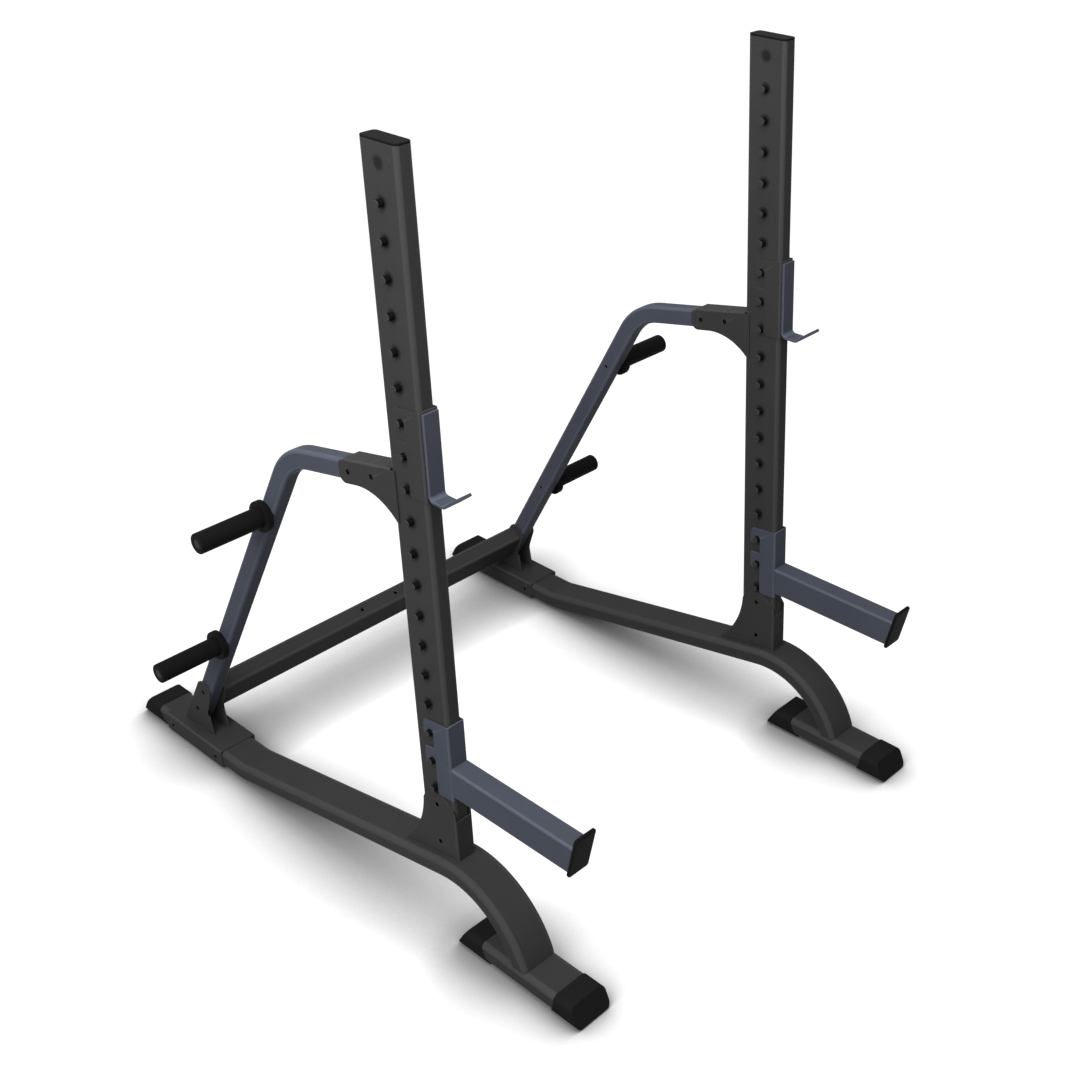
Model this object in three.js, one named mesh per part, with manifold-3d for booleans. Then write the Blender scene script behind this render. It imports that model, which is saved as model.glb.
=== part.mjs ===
import * as THREE from 'three';
import { mergeVertices } from 'three/addons/utils/BufferGeometryUtils.js';
import Module from 'manifold-3d';

const wasm = await Module();
wasm.setup();

// Lengths are in millimetres. X runs across the rack, -Y is the lifter's side and Z is up.
// One side frame is drawn about its own middle plane, with Y = 0 on the uprights' middle plane.

// clearances
const seatGap = 0.3;
const boltGap = 0.5;
const notchGap = 0.35;
const uprightFootClear = 2.5;
const braceEndClear = 2.4;
const weldDistance = 0.001;
const cutOverrun = 20;

// folded steel plate
const plate = 4;
const foldRadius = 5;

// uprights and their support pins
const uprightSpacing = 1106;
const uprightWidth = 40.6;
const uprightDepth = 110;
const uprightCorner = 10;
const uprightWall = 3;
const uprightTop = 1868;
const pinPitch = 75;
const lowestPin = 403;
const topPinClear = 60;
const pinRadius = 8;
const pinReach = 15;
const markRadius = 9.5;
const markRise = 0.6;
const markSpacing = 53;
const markBelowTop = 34.5;

// cap on an upright
const topCapFlange = 4.6;
const topCapBevel = 1.6;
const topCapPlug = 24;
const topCapWall = 2.5;

// base rail, a flat tube bent in the side frame's plane
const railWidth = 97;
const railHeight = 48;
const railCorner = 14;
const railWall = 3;
const railUnderside = 6;
const railKneeY = 806;
const railCrownMiddle = 198.5;
const railSlope = THREE.MathUtils.degToRad(11.3);
const railKneeRadius = 150;
const railShoulderRadius = 250;
const railArchRadius = 214;
const railArchTurn = THREE.MathUtils.degToRad(78);
const railRearEnd = 1236;

// front foot, a short length of the same tube
const footFrontEnd = -427;
const footRearEnd = -98;

// rubber boots on the tube ends
const bootWall = 2.4;
const bootSoleCorner = 20;
const bootSoleEdge = 5;
const bootTipRise = 4;
const bootEdge = 1;
const bootStop = 1;
const frontBoot = {
  tip: -457, top: -434.5, rim: -381.5, rimFlat: 27, soleLead: 15, tubeEnd: footFrontEnd, facing: -1 };
const middleBoot = {
  tip: -61, top: -94.5, rim: -147, rimFlat: 31, soleLead: 22, tubeEnd: footRearEnd, facing: 1 };
const rearBoot = {
  tip: 1271, top: 1238, rim: 1184.5, rimFlat: 30, soleLead: 32, tubeEnd: railRearEnd, facing: 1 };

// socket that holds an upright on the rail
const socketTop = 386;
const socketCrownY = -4;
const socketCrownRadius = 57.6;
const socketLip = 332;
const socketBackY = 48.7;
const socketFlare = { y: 55, z: 264 };
const socketToeY = 126;
const socketToeRise = 2.5;
const socketUpperHole = 355;
const socketLowerHole = 250;
const socketHoles = [socketUpperHole, socketLowerHole];
const socketHoleRadius = 5;

// saddle over the rail's rear end
const saddleFront = 883.5;
const saddleRear = 1144.5;
const saddleHem = 8;
const saddleFrontHole = 912;
const saddleRearHole = 1116;
const saddleHoles = [saddleFrontHole, saddleRearHole];
const saddleHoleHeight = 30;
const saddleHoleRadius = 4.5;

// brace from the saddle to the upright
const braceWidth = 40.6;
const braceDepth = 48.5;
const braceCorner = 9;
const braceWall = 3;
const braceTopSlope = THREE.MathUtils.degToRad(11.59);
const braceLegSlope = THREE.MathUtils.degToRad(58.78);
const braceBend = { y: 439, z: 1074.1 };
const braceBendRadius = 170;
const braceFootY = 1033;
const boltRadius = 4.2;
const boltSink = 1.2;
const bracketBolts = [118.5, 198.9];
const clevisBolts = [974.5, 1018];

// bracket behind an upright
const bracketLap = 16.5;
const bracketHemDrop = 4.2;
const bracketTopEnd = 216;
const bracketTail = 231.3;
const bracketTailCorner = 19;
const bracketStraightEnd = 175.6;
const bracketArchRadius = 147;
const bracketToe = { y: 44, corner: 2.5 };

// clevis plates on the saddle
const clevisTopY = 971.8;
const clevisReach = 29;
const clevisFrontY = 957;
const clevisWaist = { y: 967, z: 128, radius: 38 };

// cross beam between the two saddles, of the rail's tube
const beamWidth = 50;
const beamDepth = 100;
const beamCorner = 9;
const beamSetBack = 1.9;
const beamWall = 3;
const beamHoleOffset = 60;
const beamHoleRadius = 4.5;

// weight pegs
const pegPlaces = [553.6, 847.9];
const pegRadius = 25;
const pegEdge = 4;
const pegReach = 178;
const pegCoreRadius = 11.5;
const pegCoreSink = 0.8;
const pegHoleRadius = 4.5;
const collarRadius = 38.3;
const collarThick = 16.5;
const collarEdge = 2;

// brackets that hook over two neighbouring pins
const cupPin = 12;
const armPin = 2;
const lipReach = 24;
const lipDrop = 17.5;
const lipCorner = 6;
const lipInnerCorner = 2;
const hookCrown = 30.9;
const hookTilt = 0.11;
const hookBackCorner = 16;
const slotFloor = 43;
const slotCorner = 4;
const hookHeelCorner = 5;
const hookFoot = 166.9;
const hookFootCorner = 10;

// flat strap of a bar cup
const strapWidth = 40;
const strapThick = 7;
const strapCorner = 1.8;
const strapTop = 34;
const strapSeat = 156.5;
const strapSeatReach = 41;
const strapLipRun = 43;
const strapLipSlope = THREE.MathUtils.degToRad(36.5);
const strapBendRadius = 12;
const strapLipRadius = 14;

// spotter arm and its end cap
const armWidth = 50.6;
const armHeight = 75.6;
const armCorner = 6;
const armWall = 3;
const armUnderside = 146.3;
const armReach = 359.2;
const armCapDrop = 6.3;
const armCapWidth = 58.5;
const armCapLength = 117;
const armCapThick = 8;
const armCapCorner = 8;
const armCapTilt = THREE.MathUtils.degToRad(15);
const armCapPlug = 22;

// how finely curves are cut
const cornerSteps = 2;
const bendStep = THREE.MathUtils.degToRad(12);
const pinSides = 10;
const holeSides = 8;
const pegSides = 20;
const arcSteps = 8;

const finishes = {
  charcoal: { color: 0x4a4948, roughness: 0.55, metalness: 0.3 },
  slate: { color: 0x555c66, roughness: 0.5, metalness: 0.3 },
  rubber: { color: 0x1c1c1c, roughness: 0.85, metalness: 0 },
  plastic: { color: 0x222222, roughness: 0.6, metalness: 0 },
  steel: { color: 0x5f5e5d, roughness: 0.5, metalness: 0.7 },
};

// derived places

const rackMiddleY = (frontBoot.tip + rearBoot.tip) / 2;
const railMiddle = railUnderside + railHeight / 2;
const footTop = railUnderside + railHeight;
const railCrownTop = railCrownMiddle + railHeight / 2;
const railCrownCorner = railKneeY - (railCrownMiddle - railMiddle) / Math.tan(railSlope);
const railCrownStart = railCrownCorner - railShoulderRadius * Math.tan(railSlope / 2);
const uprightBottom = railCrownTop + uprightFootClear;
const pinCount = Math.floor((uprightTop - topPinClear - lowestPin) / pinPitch) + 1;
const saddleTop = footTop + seatGap + plate;
const plateInner = uprightWidth / 2 + seatGap;
const plateOuter = plateInner + plate;
const frontInner = -uprightDepth / 2 - seatGap;
const frontOuter = frontInner - plate;
const notchRadius = pinRadius + notchGap;
const strapY = frontOuter - seatGap - strapThick / 2;

function railTopAt(y) {
  const radius = railShoulderRadius + railHeight / 2;
  const fallAt = (run) => radius - Math.sqrt(radius ** 2 - run ** 2);
  const curveEnd = railCrownStart + radius * Math.sin(railSlope);
  const onCurve = Math.max(Math.min(y, curveEnd) - railCrownStart, 0);
  return railCrownTop - fallAt(onCurve) - Math.max(y - curveEnd, 0) * Math.tan(railSlope);
}

function braceMiddleAt(y) {
  const slope = y < braceBend.y ? braceTopSlope : braceLegSlope;
  return braceBend.z - (y - braceBend.y) * Math.tan(slope);
}

function pinHeight(number) {
  return lowestPin + number * pinPitch;
}

// from loops of points to solids

function signedVolume(geometry) {
  const place = geometry.getAttribute('position');
  const corner = (i) => new THREE.Vector3().fromBufferAttribute(place, geometry.index.getX(i));
  let sum = 0;
  for (let i = 0; i < geometry.index.count; i += 3) {
    sum += corner(i).dot(corner(i + 1).cross(corner(i + 2)));
  }
  return sum;
}

function solidOf(source) {
  const bare = new THREE.BufferGeometry();
  bare.setAttribute('position', source.getAttribute('position'));
  bare.setIndex(source.index);
  const merged = mergeVertices(bare, weldDistance);
  const corners = Array.from(merged.index.array);
  if (signedVolume(merged) < 0) {
    corners.reverse();
  }
  return new wasm.Manifold(new wasm.Mesh({
    numProp: 3,
    vertProperties: new Float32Array(merged.getAttribute('position').array),
    triVerts: new Uint32Array(corners),
  }));
}

function geometryOf(solid) {
  const mesh = solid.getMesh();
  const geometry = new THREE.BufferGeometry();
  geometry.setAttribute('position', new THREE.Float32BufferAttribute(mesh.vertProperties, 3));
  geometry.setIndex(Array.from(mesh.triVerts));
  return geometry;
}

function roundedLoop(halfU, halfV, radius) {
  const loop = [];
  [[1, 1], [-1, 1], [-1, -1], [1, -1]].forEach(([signU, signV], quarter) => {
    for (let k = 0; k <= cornerSteps; k += 1) {
      const angle = (quarter + k / cornerSteps) * Math.PI / 2;
      const u = signU * (halfU - radius) + radius * Math.cos(angle);
      const v = signV * (halfV - radius) + radius * Math.sin(angle);
      loop.push([u, v]);
    }
  });
  return loop;
}

// Joins loops of equally many points. A ring closes on itself, anything else gets two end faces.
function skin(loops, ring) {
  const count = loops[0].length;
  const points = loops.flat().flatMap((p) => [p.x, p.y, p.z]);
  const faces = [];
  const bands = ring ? loops.length : loops.length - 1;
  for (let i = 0; i < bands; i += 1) {
    const low = i * count;
    const high = ((i + 1) % loops.length) * count;
    for (let k = 0; k < count; k += 1) {
      const next = (k + 1) % count;
      faces.push(low + k, low + next, high + next, low + k, high + next, high + k);
    }
  }
  const last = (loops.length - 1) * count;
  for (let k = 1; k < count - 1 && !ring; k += 1) {
    faces.push(0, k + 1, k, last, last + k, last + k + 1);
  }
  const geometry = new THREE.BufferGeometry();
  geometry.setAttribute('position', new THREE.Float32BufferAttribute(points, 3));
  geometry.setIndex(faces);
  return solidOf(geometry);
}

// Stations along a line of corners in the Y-Z plane, each corner rounded with its own radius.
function stationsAlong(corners, radii) {
  const heading = (a, b) => Math.atan2(b.z - a.z, b.y - a.y);
  const end = corners[corners.length - 1];
  const stations = [{ ...corners[0], angle: heading(corners[0], corners[1]) }];
  for (let i = 1; i < corners.length - 1; i += 1) {
    const before = heading(corners[i - 1], corners[i]);
    const difference = heading(corners[i], corners[i + 1]) - before;
    const turn = Math.atan2(Math.sin(difference), Math.cos(difference));
    const radius = radii[i - 1] * Math.sign(turn);
    const run = radius * Math.tan(turn / 2);
    const middleY = corners[i].y - run * Math.cos(before) - radius * Math.sin(before);
    const middleZ = corners[i].z - run * Math.sin(before) + radius * Math.cos(before);
    const steps = Math.max(2, Math.round(Math.abs(turn) / bendStep));
    for (let k = 0; k <= steps; k += 1) {
      const angle = before + turn * k / steps;
      const y = middleY + radius * Math.sin(angle);
      const z = middleZ - radius * Math.cos(angle);
      stations.push({ y, z, angle });
    }
  }
  stations.push({ ...end, angle: heading(corners[corners.length - 2], end) });
  return stations;
}

function loopAt(station, halfU, halfV, radius) {
  const upY = -Math.sin(station.angle);
  const upZ = Math.cos(station.angle);
  return roundedLoop(halfU, halfV, radius).map(([u, v]) => (
    new THREE.Vector3(u, station.y + upY * v, station.z + upZ * v)));
}

function bentBar(stations, width, depth, corner) {
  return skin(stations.map((s) => loopAt(s, width / 2, depth / 2, corner)), false);
}

function bentTube(stations, width, depth, corner, wall) {
  const outer = stations.map((s) => loopAt(s, width / 2, depth / 2, corner));
  const inner = stations.map((s) => loopAt(s, width / 2 - wall, depth / 2 - wall, corner - wall));
  return skin(outer.concat(inner.reverse()), true);
}

function levelLoop(width, depth, corner, z) {
  return roundedLoop(width / 2, depth / 2, corner).map(([u, v]) => new THREE.Vector3(u, v, z));
}

function uprightTube(width, depth, corner, wall, low, high) {
  const inner = [width - 2 * wall, depth - 2 * wall, corner - wall];
  return skin([
    levelLoop(width, depth, corner, low), levelLoop(width, depth, corner, high),
    levelLoop(...inner, high), levelLoop(...inner, low)], true);
}

function extruded(shape, low, high, place) {
  const body = new THREE.ExtrudeGeometry(shape, { depth: high - low, bevelEnabled: false });
  body.translate(0, 0, low);
  body.applyMatrix4(place);
  return solidOf(body);
}

const sideView = new THREE.Matrix4().set(0, 0, 1, 0, 1, 0, 0, 0, 0, 1, 0, 0, 0, 0, 0, 1);
const frontView = new THREE.Matrix4().set(1, 0, 0, 0, 0, 0, 1, 0, 0, 1, 0, 0, 0, 0, 0, 1);
const planView = new THREE.Matrix4();

// A side view, drawn in Y and Z, made thick along X.
function sidePlate(shape, low, high) {
  return extruded(shape, low, high, sideView);
}

// A front view, drawn in X and Z, made thick along Y.
function frontPlate(shape, low, high) {
  return extruded(shape, low, high, frontView);
}

// A plan view, drawn in X and Y, made thick along Z.
function planPlate(shape, low, high) {
  return extruded(shape, low, high, planView);
}

function arcPoints(y, z, radius, from, to) {
  const points = [];
  for (let k = 0; k <= arcSteps; k += 1) {
    const angle = from + (to - from) * k / arcSteps;
    points.push([y + radius * Math.cos(angle), z + radius * Math.sin(angle)]);
  }
  return points;
}

function roundedCorner(before, here, after, radius) {
  const corner = new THREE.Vector2(here[0], here[1]);
  const inward = new THREE.Vector2(before[0], before[1]).sub(corner).normalize();
  const outward = new THREE.Vector2(after[0], after[1]).sub(corner).normalize();
  const half = Math.acos(inward.dot(outward)) / 2;
  const run = radius / Math.tan(half);
  const middle = inward.clone().add(outward).setLength(radius / Math.sin(half)).add(corner);
  const start = inward.multiplyScalar(run).add(corner).sub(middle).angle();
  const end = outward.multiplyScalar(run).add(corner).sub(middle).angle();
  const sweep = Math.atan2(Math.sin(end - start), Math.cos(end - start));
  const steps = Math.max(1, Math.round(Math.abs(sweep) * cornerSteps / (Math.PI / 2)));
  const points = [];
  for (let k = 0; k <= steps; k += 1) {
    const angle = start + sweep * k / steps;
    points.push([middle.x + radius * Math.cos(angle), middle.y + radius * Math.sin(angle)]);
  }
  return points;
}

// A closed outline from entries [u, v] or [u, v, corner radius].
function outlineOf(entries) {
  const total = entries.length;
  const points = entries.flatMap((here, i) => {
    const before = entries[(i + total - 1) % total];
    const after = entries[(i + 1) % total];
    return here[2] ? roundedCorner(before, here, after, here[2]) : [here];
  });
  return new THREE.Shape(points.map(([u, v]) => new THREE.Vector2(u, v)));
}

function box(lowX, highX, lowY, highY, lowZ, highZ) {
  return planPlate(outlineOf([[lowX, lowY], [highX, lowY], [highX, highY], [lowX, highY]]), lowZ, highZ);
}

function barAlongX(y, z, radius, low, high, sides) {
  const bar = new THREE.CylinderGeometry(radius, radius, high - low, sides);
  bar.rotateZ(Math.PI / 2);
  bar.translate((low + high) / 2, y, z);
  return solidOf(bar);
}

// A turned piece about X. The profile runs [distance out from the side frame's middle, radius].
function turnedAlongX(profile, y, z, side) {
  const body = new THREE.LatheGeometry(profile.map(([x, r]) => new THREE.Vector2(r, x)), pegSides);
  body.rotateZ(-side * Math.PI / 2);
  body.translate(0, y, z);
  return solidOf(body);
}

// Drills the same hole right through a piece along X at each place.
function drilled(solid, places, radius) {
  return places.reduce((left, { y, z }) => (
    left.subtract(barAlongX(y, z, radius, -railWidth, railWidth, holeSides))), solid);
}

const onBrace = (y) => ({ y, z: braceMiddleAt(y) });

// base

function baseRail() {
  const archRun = railArchRadius * Math.tan(railArchTurn / 2);
  const archY = railCrownStart - archRun;
  const corners = [
    { y: railRearEnd, z: railMiddle },
    { y: railKneeY, z: railMiddle },
    { y: railCrownCorner, z: railCrownMiddle },
    { y: archY, z: railCrownMiddle },
    {
      y: archY - (archRun + cutOverrun) * Math.cos(railArchTurn),
      z: railCrownMiddle - (archRun + cutOverrun) * Math.sin(railArchTurn),
    },
  ];
  const stations = stationsAlong(corners, [railKneeRadius, railShoulderRadius, railArchRadius]);
  const tube = bentTube(stations, railWidth, railHeight, railCorner, railWall);
  const below = box(-railWidth, railWidth, 2 * archY, archY / 2, -railHeight, footTop + seatGap);
  const holes = saddleHoles.map((y) => ({ y, z: saddleHoleHeight }));
  return drilled(tube.subtract(below), holes, saddleHoleRadius);
}

function frontFoot() {
  const stations = [footFrontEnd, footRearEnd].map((y) => ({ y, z: railMiddle, angle: 0 }));
  return bentTube(stations, railWidth, railHeight, railCorner, railWall);
}

// A boot takes a tube's end and is closed at its tip. Its sole runs on past its rim.
function rubberBoot({ tip, top, rim, rimFlat, soleLead, tubeEnd, facing }) {
  const half = railWidth / 2 + seatGap + bootWall;
  const height = footTop + seatGap + bootWall;
  const sole = rim - facing * soleLead;
  const corner = railCorner + bootWall;
  const side = outlineOf([
    [tip - facing * bootTipRise, 0], [tip, bootTipRise], [top, height, bootEdge], [rim, height],
    [rim, rimFlat], [sole, bootSoleEdge], [sole, 0]]);
  const front = outlineOf([
    [-half, 0, bootSoleCorner], [half, 0, bootSoleCorner], [half, height, corner], [-half, height, corner]]);
  const outer = sidePlate(side, -half, half)
    .intersect(frontPlate(front, Math.min(tip, sole), Math.max(tip, sole)));
  const ends = [tubeEnd + facing * bootStop, sole - facing * cutOverrun].sort((a, b) => a - b);
  const stations = ends.map((y) => ({ y, z: railMiddle, angle: 0 }));
  return outer.subtract(bentBar(stations, railWidth + 2 * seatGap, railHeight + 2 * seatGap, railCorner));
}

// Plan of a plate folded round an upright: a front and two cheeks that run back to rear.
function foldedPlan(rear) {
  const inner = foldRadius - plate;
  return outlineOf([
    [-plateOuter, frontOuter, foldRadius], [plateOuter, frontOuter, foldRadius],
    [plateOuter, rear], [plateInner, rear],
    [plateInner, frontInner, inner], [-plateInner, frontInner, inner],
    [-plateInner, rear], [-plateOuter, rear]]);
}

function uprightSocket() {
  const crownZ = socketTop - socketCrownRadius;
  const angleAt = (y) => Math.acos((y - socketCrownY) / socketCrownRadius);
  const crown = arcPoints(socketCrownY, crownZ, socketCrownRadius, angleAt(socketBackY), angleAt(frontOuter));
  const toeTop = railTopAt(socketToeY) + seatGap + socketToeRise;
  const back = new THREE.QuadraticBezierCurve(
    new THREE.Vector2(socketToeY, toeTop),
    new THREE.Vector2(socketFlare.y, socketFlare.z),
    new THREE.Vector2(...crown[0])).getPoints(arcSteps).map((p) => [p.x, p.y]);
  const hem = [];
  for (let k = 0; k <= arcSteps; k += 1) {
    const y = frontOuter + (socketToeY - frontOuter) * k / arcSteps;
    hem.push([y, railTopAt(y) + seatGap]);
  }
  const outline = outlineOf([...hem, ...back, ...crown.slice(1)]);
  const low = railTopAt(socketToeY);
  const body = planPlate(foldedPlan(socketToeY), low, socketTop)
    .intersect(sidePlate(outline, -plateOuter, plateOuter))
    .subtract(box(-plateInner, plateInner, frontOuter - plate, frontInner, socketLip, socketTop + plate));
  return drilled(body, socketHoles.map((z) => ({ y: 0, z })), socketHoleRadius);
}

function rearSaddle() {
  const inner = railWidth / 2 + seatGap;
  const outer = inner + plate;
  const bend = foldRadius - plate;
  const front = outlineOf([
    [-outer, saddleHem], [-inner, saddleHem], [-inner, saddleTop - plate, bend],
    [inner, saddleTop - plate, bend], [inner, saddleHem], [outer, saddleHem],
    [outer, saddleTop, foldRadius], [-outer, saddleTop, foldRadius]]);
  const holes = saddleHoles.map((y) => ({ y, z: saddleHoleHeight }));
  return drilled(frontPlate(front, saddleFront, saddleRear), holes, saddleHoleRadius);
}

function clevisPlate(outward) {
  const foot = saddleTop + seatGap;
  const top = onBrace(clevisTopY);
  const square = Math.PI / 2 - braceLegSlope;
  const crown = arcPoints(top.y, top.z, clevisReach, square, square + Math.PI);
  const heel = crown[0][0] + (crown[0][1] - foot) / Math.tan(braceLegSlope);
  const waist = clevisWaist;
  const outline = outlineOf([
    [clevisFrontY, foot], [heel, foot], ...crown, [waist.y, waist.z, waist.radius]]);
  const low = outward > 0 ? plateInner : -plateOuter;
  return drilled(sidePlate(outline, low, low + plate), clevisBolts.map(onBrace), boltRadius + boltGap);
}

function crossBeam() {
  const along = new THREE.Vector2(Math.cos(braceLegSlope), -Math.sin(braceLegSlope));
  const middle = onBrace((clevisBolts[0] + clevisBolts[1]) / 2);
  middle.y -= beamSetBack * along.y;
  middle.z += beamSetBack * along.x;
  const half = uprightSpacing / 2 - plateOuter - seatGap;
  const loop = (x, thinner) => (
    roundedLoop(beamDepth / 2 - thinner, beamWidth / 2 - thinner, beamCorner - thinner).map(([u, v]) => (
      new THREE.Vector3(x, middle.y + along.x * u - along.y * v, middle.z + along.y * u + along.x * v))));
  let beam = skin([loop(-half, 0), loop(half, 0), loop(half, beamWall), loop(-half, beamWall)], true);
  for (const x of [-beamHoleOffset, beamHoleOffset]) {
    const drill = new THREE.CylinderGeometry(beamHoleRadius, beamHoleRadius, beamWidth, holeSides);
    drill.rotateX(-braceLegSlope);
    drill.translate(x, middle.y - along.x * beamDepth / 2, middle.z - along.y * beamDepth / 2);
    beam = beam.subtract(solidOf(drill));
  }
  return beam;
}

// uprights and braces

// Adds a stub on both faces across the width, rooted in the tube's wall.
function withStubs(solid, y, z, radius, reach) {
  const root = uprightWidth / 2 - uprightWall / 2;
  const end = uprightWidth / 2 + reach;
  return solid
    .add(barAlongX(y, z, radius, root, end, pinSides))
    .add(barAlongX(y, z, radius, -end, -root, pinSides));
}

function upright() {
  let body = uprightTube(uprightWidth, uprightDepth, uprightCorner, uprightWall, uprightBottom, uprightTop);
  for (let k = 0; k < pinCount; k += 1) {
    body = withStubs(body, 0, pinHeight(k), pinRadius, pinReach);
  }
  for (const y of [-markSpacing / 2, markSpacing / 2]) {
    body = withStubs(body, y, uprightTop - markBelowTop, markRadius, markRise);
  }
  return drilled(body, socketHoles.map((z) => ({ y: 0, z })), socketHoleRadius);
}

function topCap() {
  const low = uprightTop + seatGap;
  const high = low + topCapFlange;
  const slimmer = 2 * topCapBevel;
  const flange = skin([
    levelLoop(uprightWidth, uprightDepth, uprightCorner, low),
    levelLoop(uprightWidth, uprightDepth, uprightCorner, high - topCapBevel),
    levelLoop(uprightWidth - slimmer, uprightDepth - slimmer, uprightCorner - topCapBevel, high)], false);
  const inside = 2 * (uprightWall + seatGap);
  const plug = uprightTube(
    uprightWidth - inside, uprightDepth - inside, uprightCorner - uprightWall,
    topCapWall, low - topCapPlug, low + topCapFlange / 2);
  return flange.add(plug);
}

function braceStations() {
  const lean = braceDepth / 2 * Math.sin(braceTopSlope);
  const start = uprightDepth / 2 + braceEndClear + lean;
  return stationsAlong([onBrace(start), braceBend, onBrace(braceFootY)], [braceBendRadius]);
}

function brace(side) {
  const tube = bentTube(braceStations(), braceWidth, braceDepth, braceCorner, braceWall);
  const bolts = [...bracketBolts, ...clevisBolts].map(onBrace);
  const inward = [0, -side * braceWidth].sort((a, b) => a - b);
  return pegPlaces.map(onBrace).reduce((left, { y, z }) => (
    left.subtract(barAlongX(y, z, pegHoleRadius, ...inward, holeSides))
  ), drilled(tube, bolts, boltRadius + seatGap));
}

function boltAt(y) {
  const half = plateOuter - boltSink;
  return barAlongX(y, braceMiddleAt(y), boltRadius, -half, half, holeSides);
}

// Two cheeks and a top folded over the brace. The cheeks lap the upright's sides.
function braceBracket() {
  const slope = Math.tan(braceTopSlope);
  const rise = braceDepth / 2 / Math.cos(braceTopSlope);
  const topLift = (seatGap + plate) / Math.cos(braceTopSlope);
  const topAt = (y) => braceMiddleAt(y) + rise + topLift;
  const hemAt = (y) => braceMiddleAt(y) - rise - bracketHemDrop;
  const front = uprightDepth / 2 - bracketLap;
  const archY = bracketStraightEnd - bracketArchRadius * Math.sin(braceTopSlope);
  const archZ = hemAt(bracketStraightEnd) - bracketArchRadius * Math.cos(braceTopSlope);
  const archEnd = Math.acos((bracketToe.y - archY) / bracketArchRadius);
  const arch = arcPoints(archY, archZ, bracketArchRadius, archEnd, Math.PI / 2 - braceTopSlope);
  const outline = outlineOf([
    [front, arch[0][1], bracketToe.corner], ...arch,
    [bracketTail, hemAt(bracketTail), bracketTailCorner],
    [bracketTail, topAt(bracketTail), bracketTailCorner],
    [front, topAt(front)]]);
  const depth = 4 * braceDepth;
  const spine = (drop) => [front - cutOverrun, bracketTail + cutOverrun].map((y) => (
    { y, z: topAt(y) - (drop + depth / 2) / Math.cos(braceTopSlope), angle: -braceTopSlope }));
  const high = topAt(front) + cutOverrun;
  const low = arch[0][1] - cutOverrun;
  const body = sidePlate(outline, -plateOuter, plateOuter)
    .intersect(bentBar(spine(0), 2 * plateOuter, depth, foldRadius))
    .subtract(bentBar(spine(plate), 2 * plateInner, depth, foldRadius - plate))
    .subtract(box(-plateInner, plateInner, front - cutOverrun, uprightDepth / 2 + seatGap, low, high))
    .subtract(box(-plateInner, plateInner, bracketTopEnd, bracketTail + cutOverrun, low, high));
  return drilled(body, bracketBolts.map(onBrace), boltRadius + boltGap);
}

// weight pegs

const braceFace = braceWidth / 2 + seatGap;
const collarFace = braceFace + collarThick;
const pegBore = pegCoreRadius + seatGap;
const collarBore = pegRadius + seatGap;
const pegEnd = braceWidth / 2 + pegReach;

function pegCollar(y, side) {
  const profile = [
    [braceFace, collarBore], [braceFace, collarRadius], [collarFace - collarEdge, collarRadius],
    [collarFace, collarRadius - collarEdge], [collarFace, collarBore], [braceFace, collarBore]];
  return turnedAlongX(profile, y, braceMiddleAt(y), side);
}

function pegSleeve(y, side) {
  const chamfer = pegEdge / 3;
  const profile = [
    [braceFace, pegBore], [braceFace, pegRadius], [pegEnd - pegEdge, pegRadius],
    [pegEnd - chamfer, pegRadius - chamfer], [pegEnd, pegRadius - pegEdge],
    [pegEnd, pegBore], [braceFace, pegBore]];
  return turnedAlongX(profile, y, braceMiddleAt(y), side);
}

function pegCore(y, side) {
  const end = pegEnd - pegCoreSink;
  const profile = [[braceFace, 0], [braceFace, pegCoreRadius], [end, pegCoreRadius], [end, 0]];
  return turnedAlongX(profile, y, braceMiddleAt(y), side);
}

// pieces that hang on the pins, drawn about the upper pin that they hang on

function hookBracket() {
  const sloped = (height) => (y) => height - hookTilt * y;
  const crown = sloped(hookCrown);
  const slot = sloped(-slotFloor);
  const foot = sloped(-hookFoot);
  const lipEnd = -lipDrop;
  const outline = outlineOf([
    [frontOuter, crown(frontOuter)],
    [frontOuter, foot(frontOuter)],
    [-notchRadius, foot(-notchRadius), hookFootCorner],
    ...arcPoints(0, -pinPitch, notchRadius, Math.PI, 0),
    [notchRadius, lipEnd - pinPitch, lipInnerCorner],
    [lipReach, lipEnd - pinPitch, lipCorner],
    [lipReach, slot(lipReach), hookHeelCorner],
    [-notchRadius, slot(-notchRadius), slotCorner],
    ...arcPoints(0, 0, notchRadius, Math.PI, 0),
    [notchRadius, lipEnd, lipInnerCorner],
    [lipReach, lipEnd, lipCorner],
    [lipReach, crown(lipReach), hookBackCorner]]);
  return planPlate(foldedPlan(lipReach), foot(0), crown(frontOuter))
    .intersect(sidePlate(outline, -plateOuter, plateOuter));
}

function cupStrap() {
  const seatY = strapY - strapSeatReach;
  const corners = [
    { y: strapY, z: strapTop },
    { y: strapY, z: -strapSeat },
    { y: seatY, z: -strapSeat },
    { y: seatY - strapLipRun, z: -strapSeat + strapLipRun * Math.tan(strapLipSlope) }];
  const stations = stationsAlong(corners, [strapBendRadius, strapLipRadius]);
  return bentBar(stations, strapWidth, strapThick, strapCorner);
}

// The end cap leans forward. capY gives the place of its back face, or of a plane ahead of it.
const armBack = frontOuter - seatGap;
const capHeel = { y: armBack - armReach, z: -armUnderside - armCapDrop };

function capY(z, ahead) {
  return capHeel.y - (z - capHeel.z) * Math.tan(armCapTilt) - ahead / Math.cos(armCapTilt);
}

function armStations(back) {
  const z = -armUnderside + armHeight / 2;
  return [back, capY(armHeight, cutOverrun)].map((y) => ({ y, z, angle: Math.PI }));
}

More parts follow.
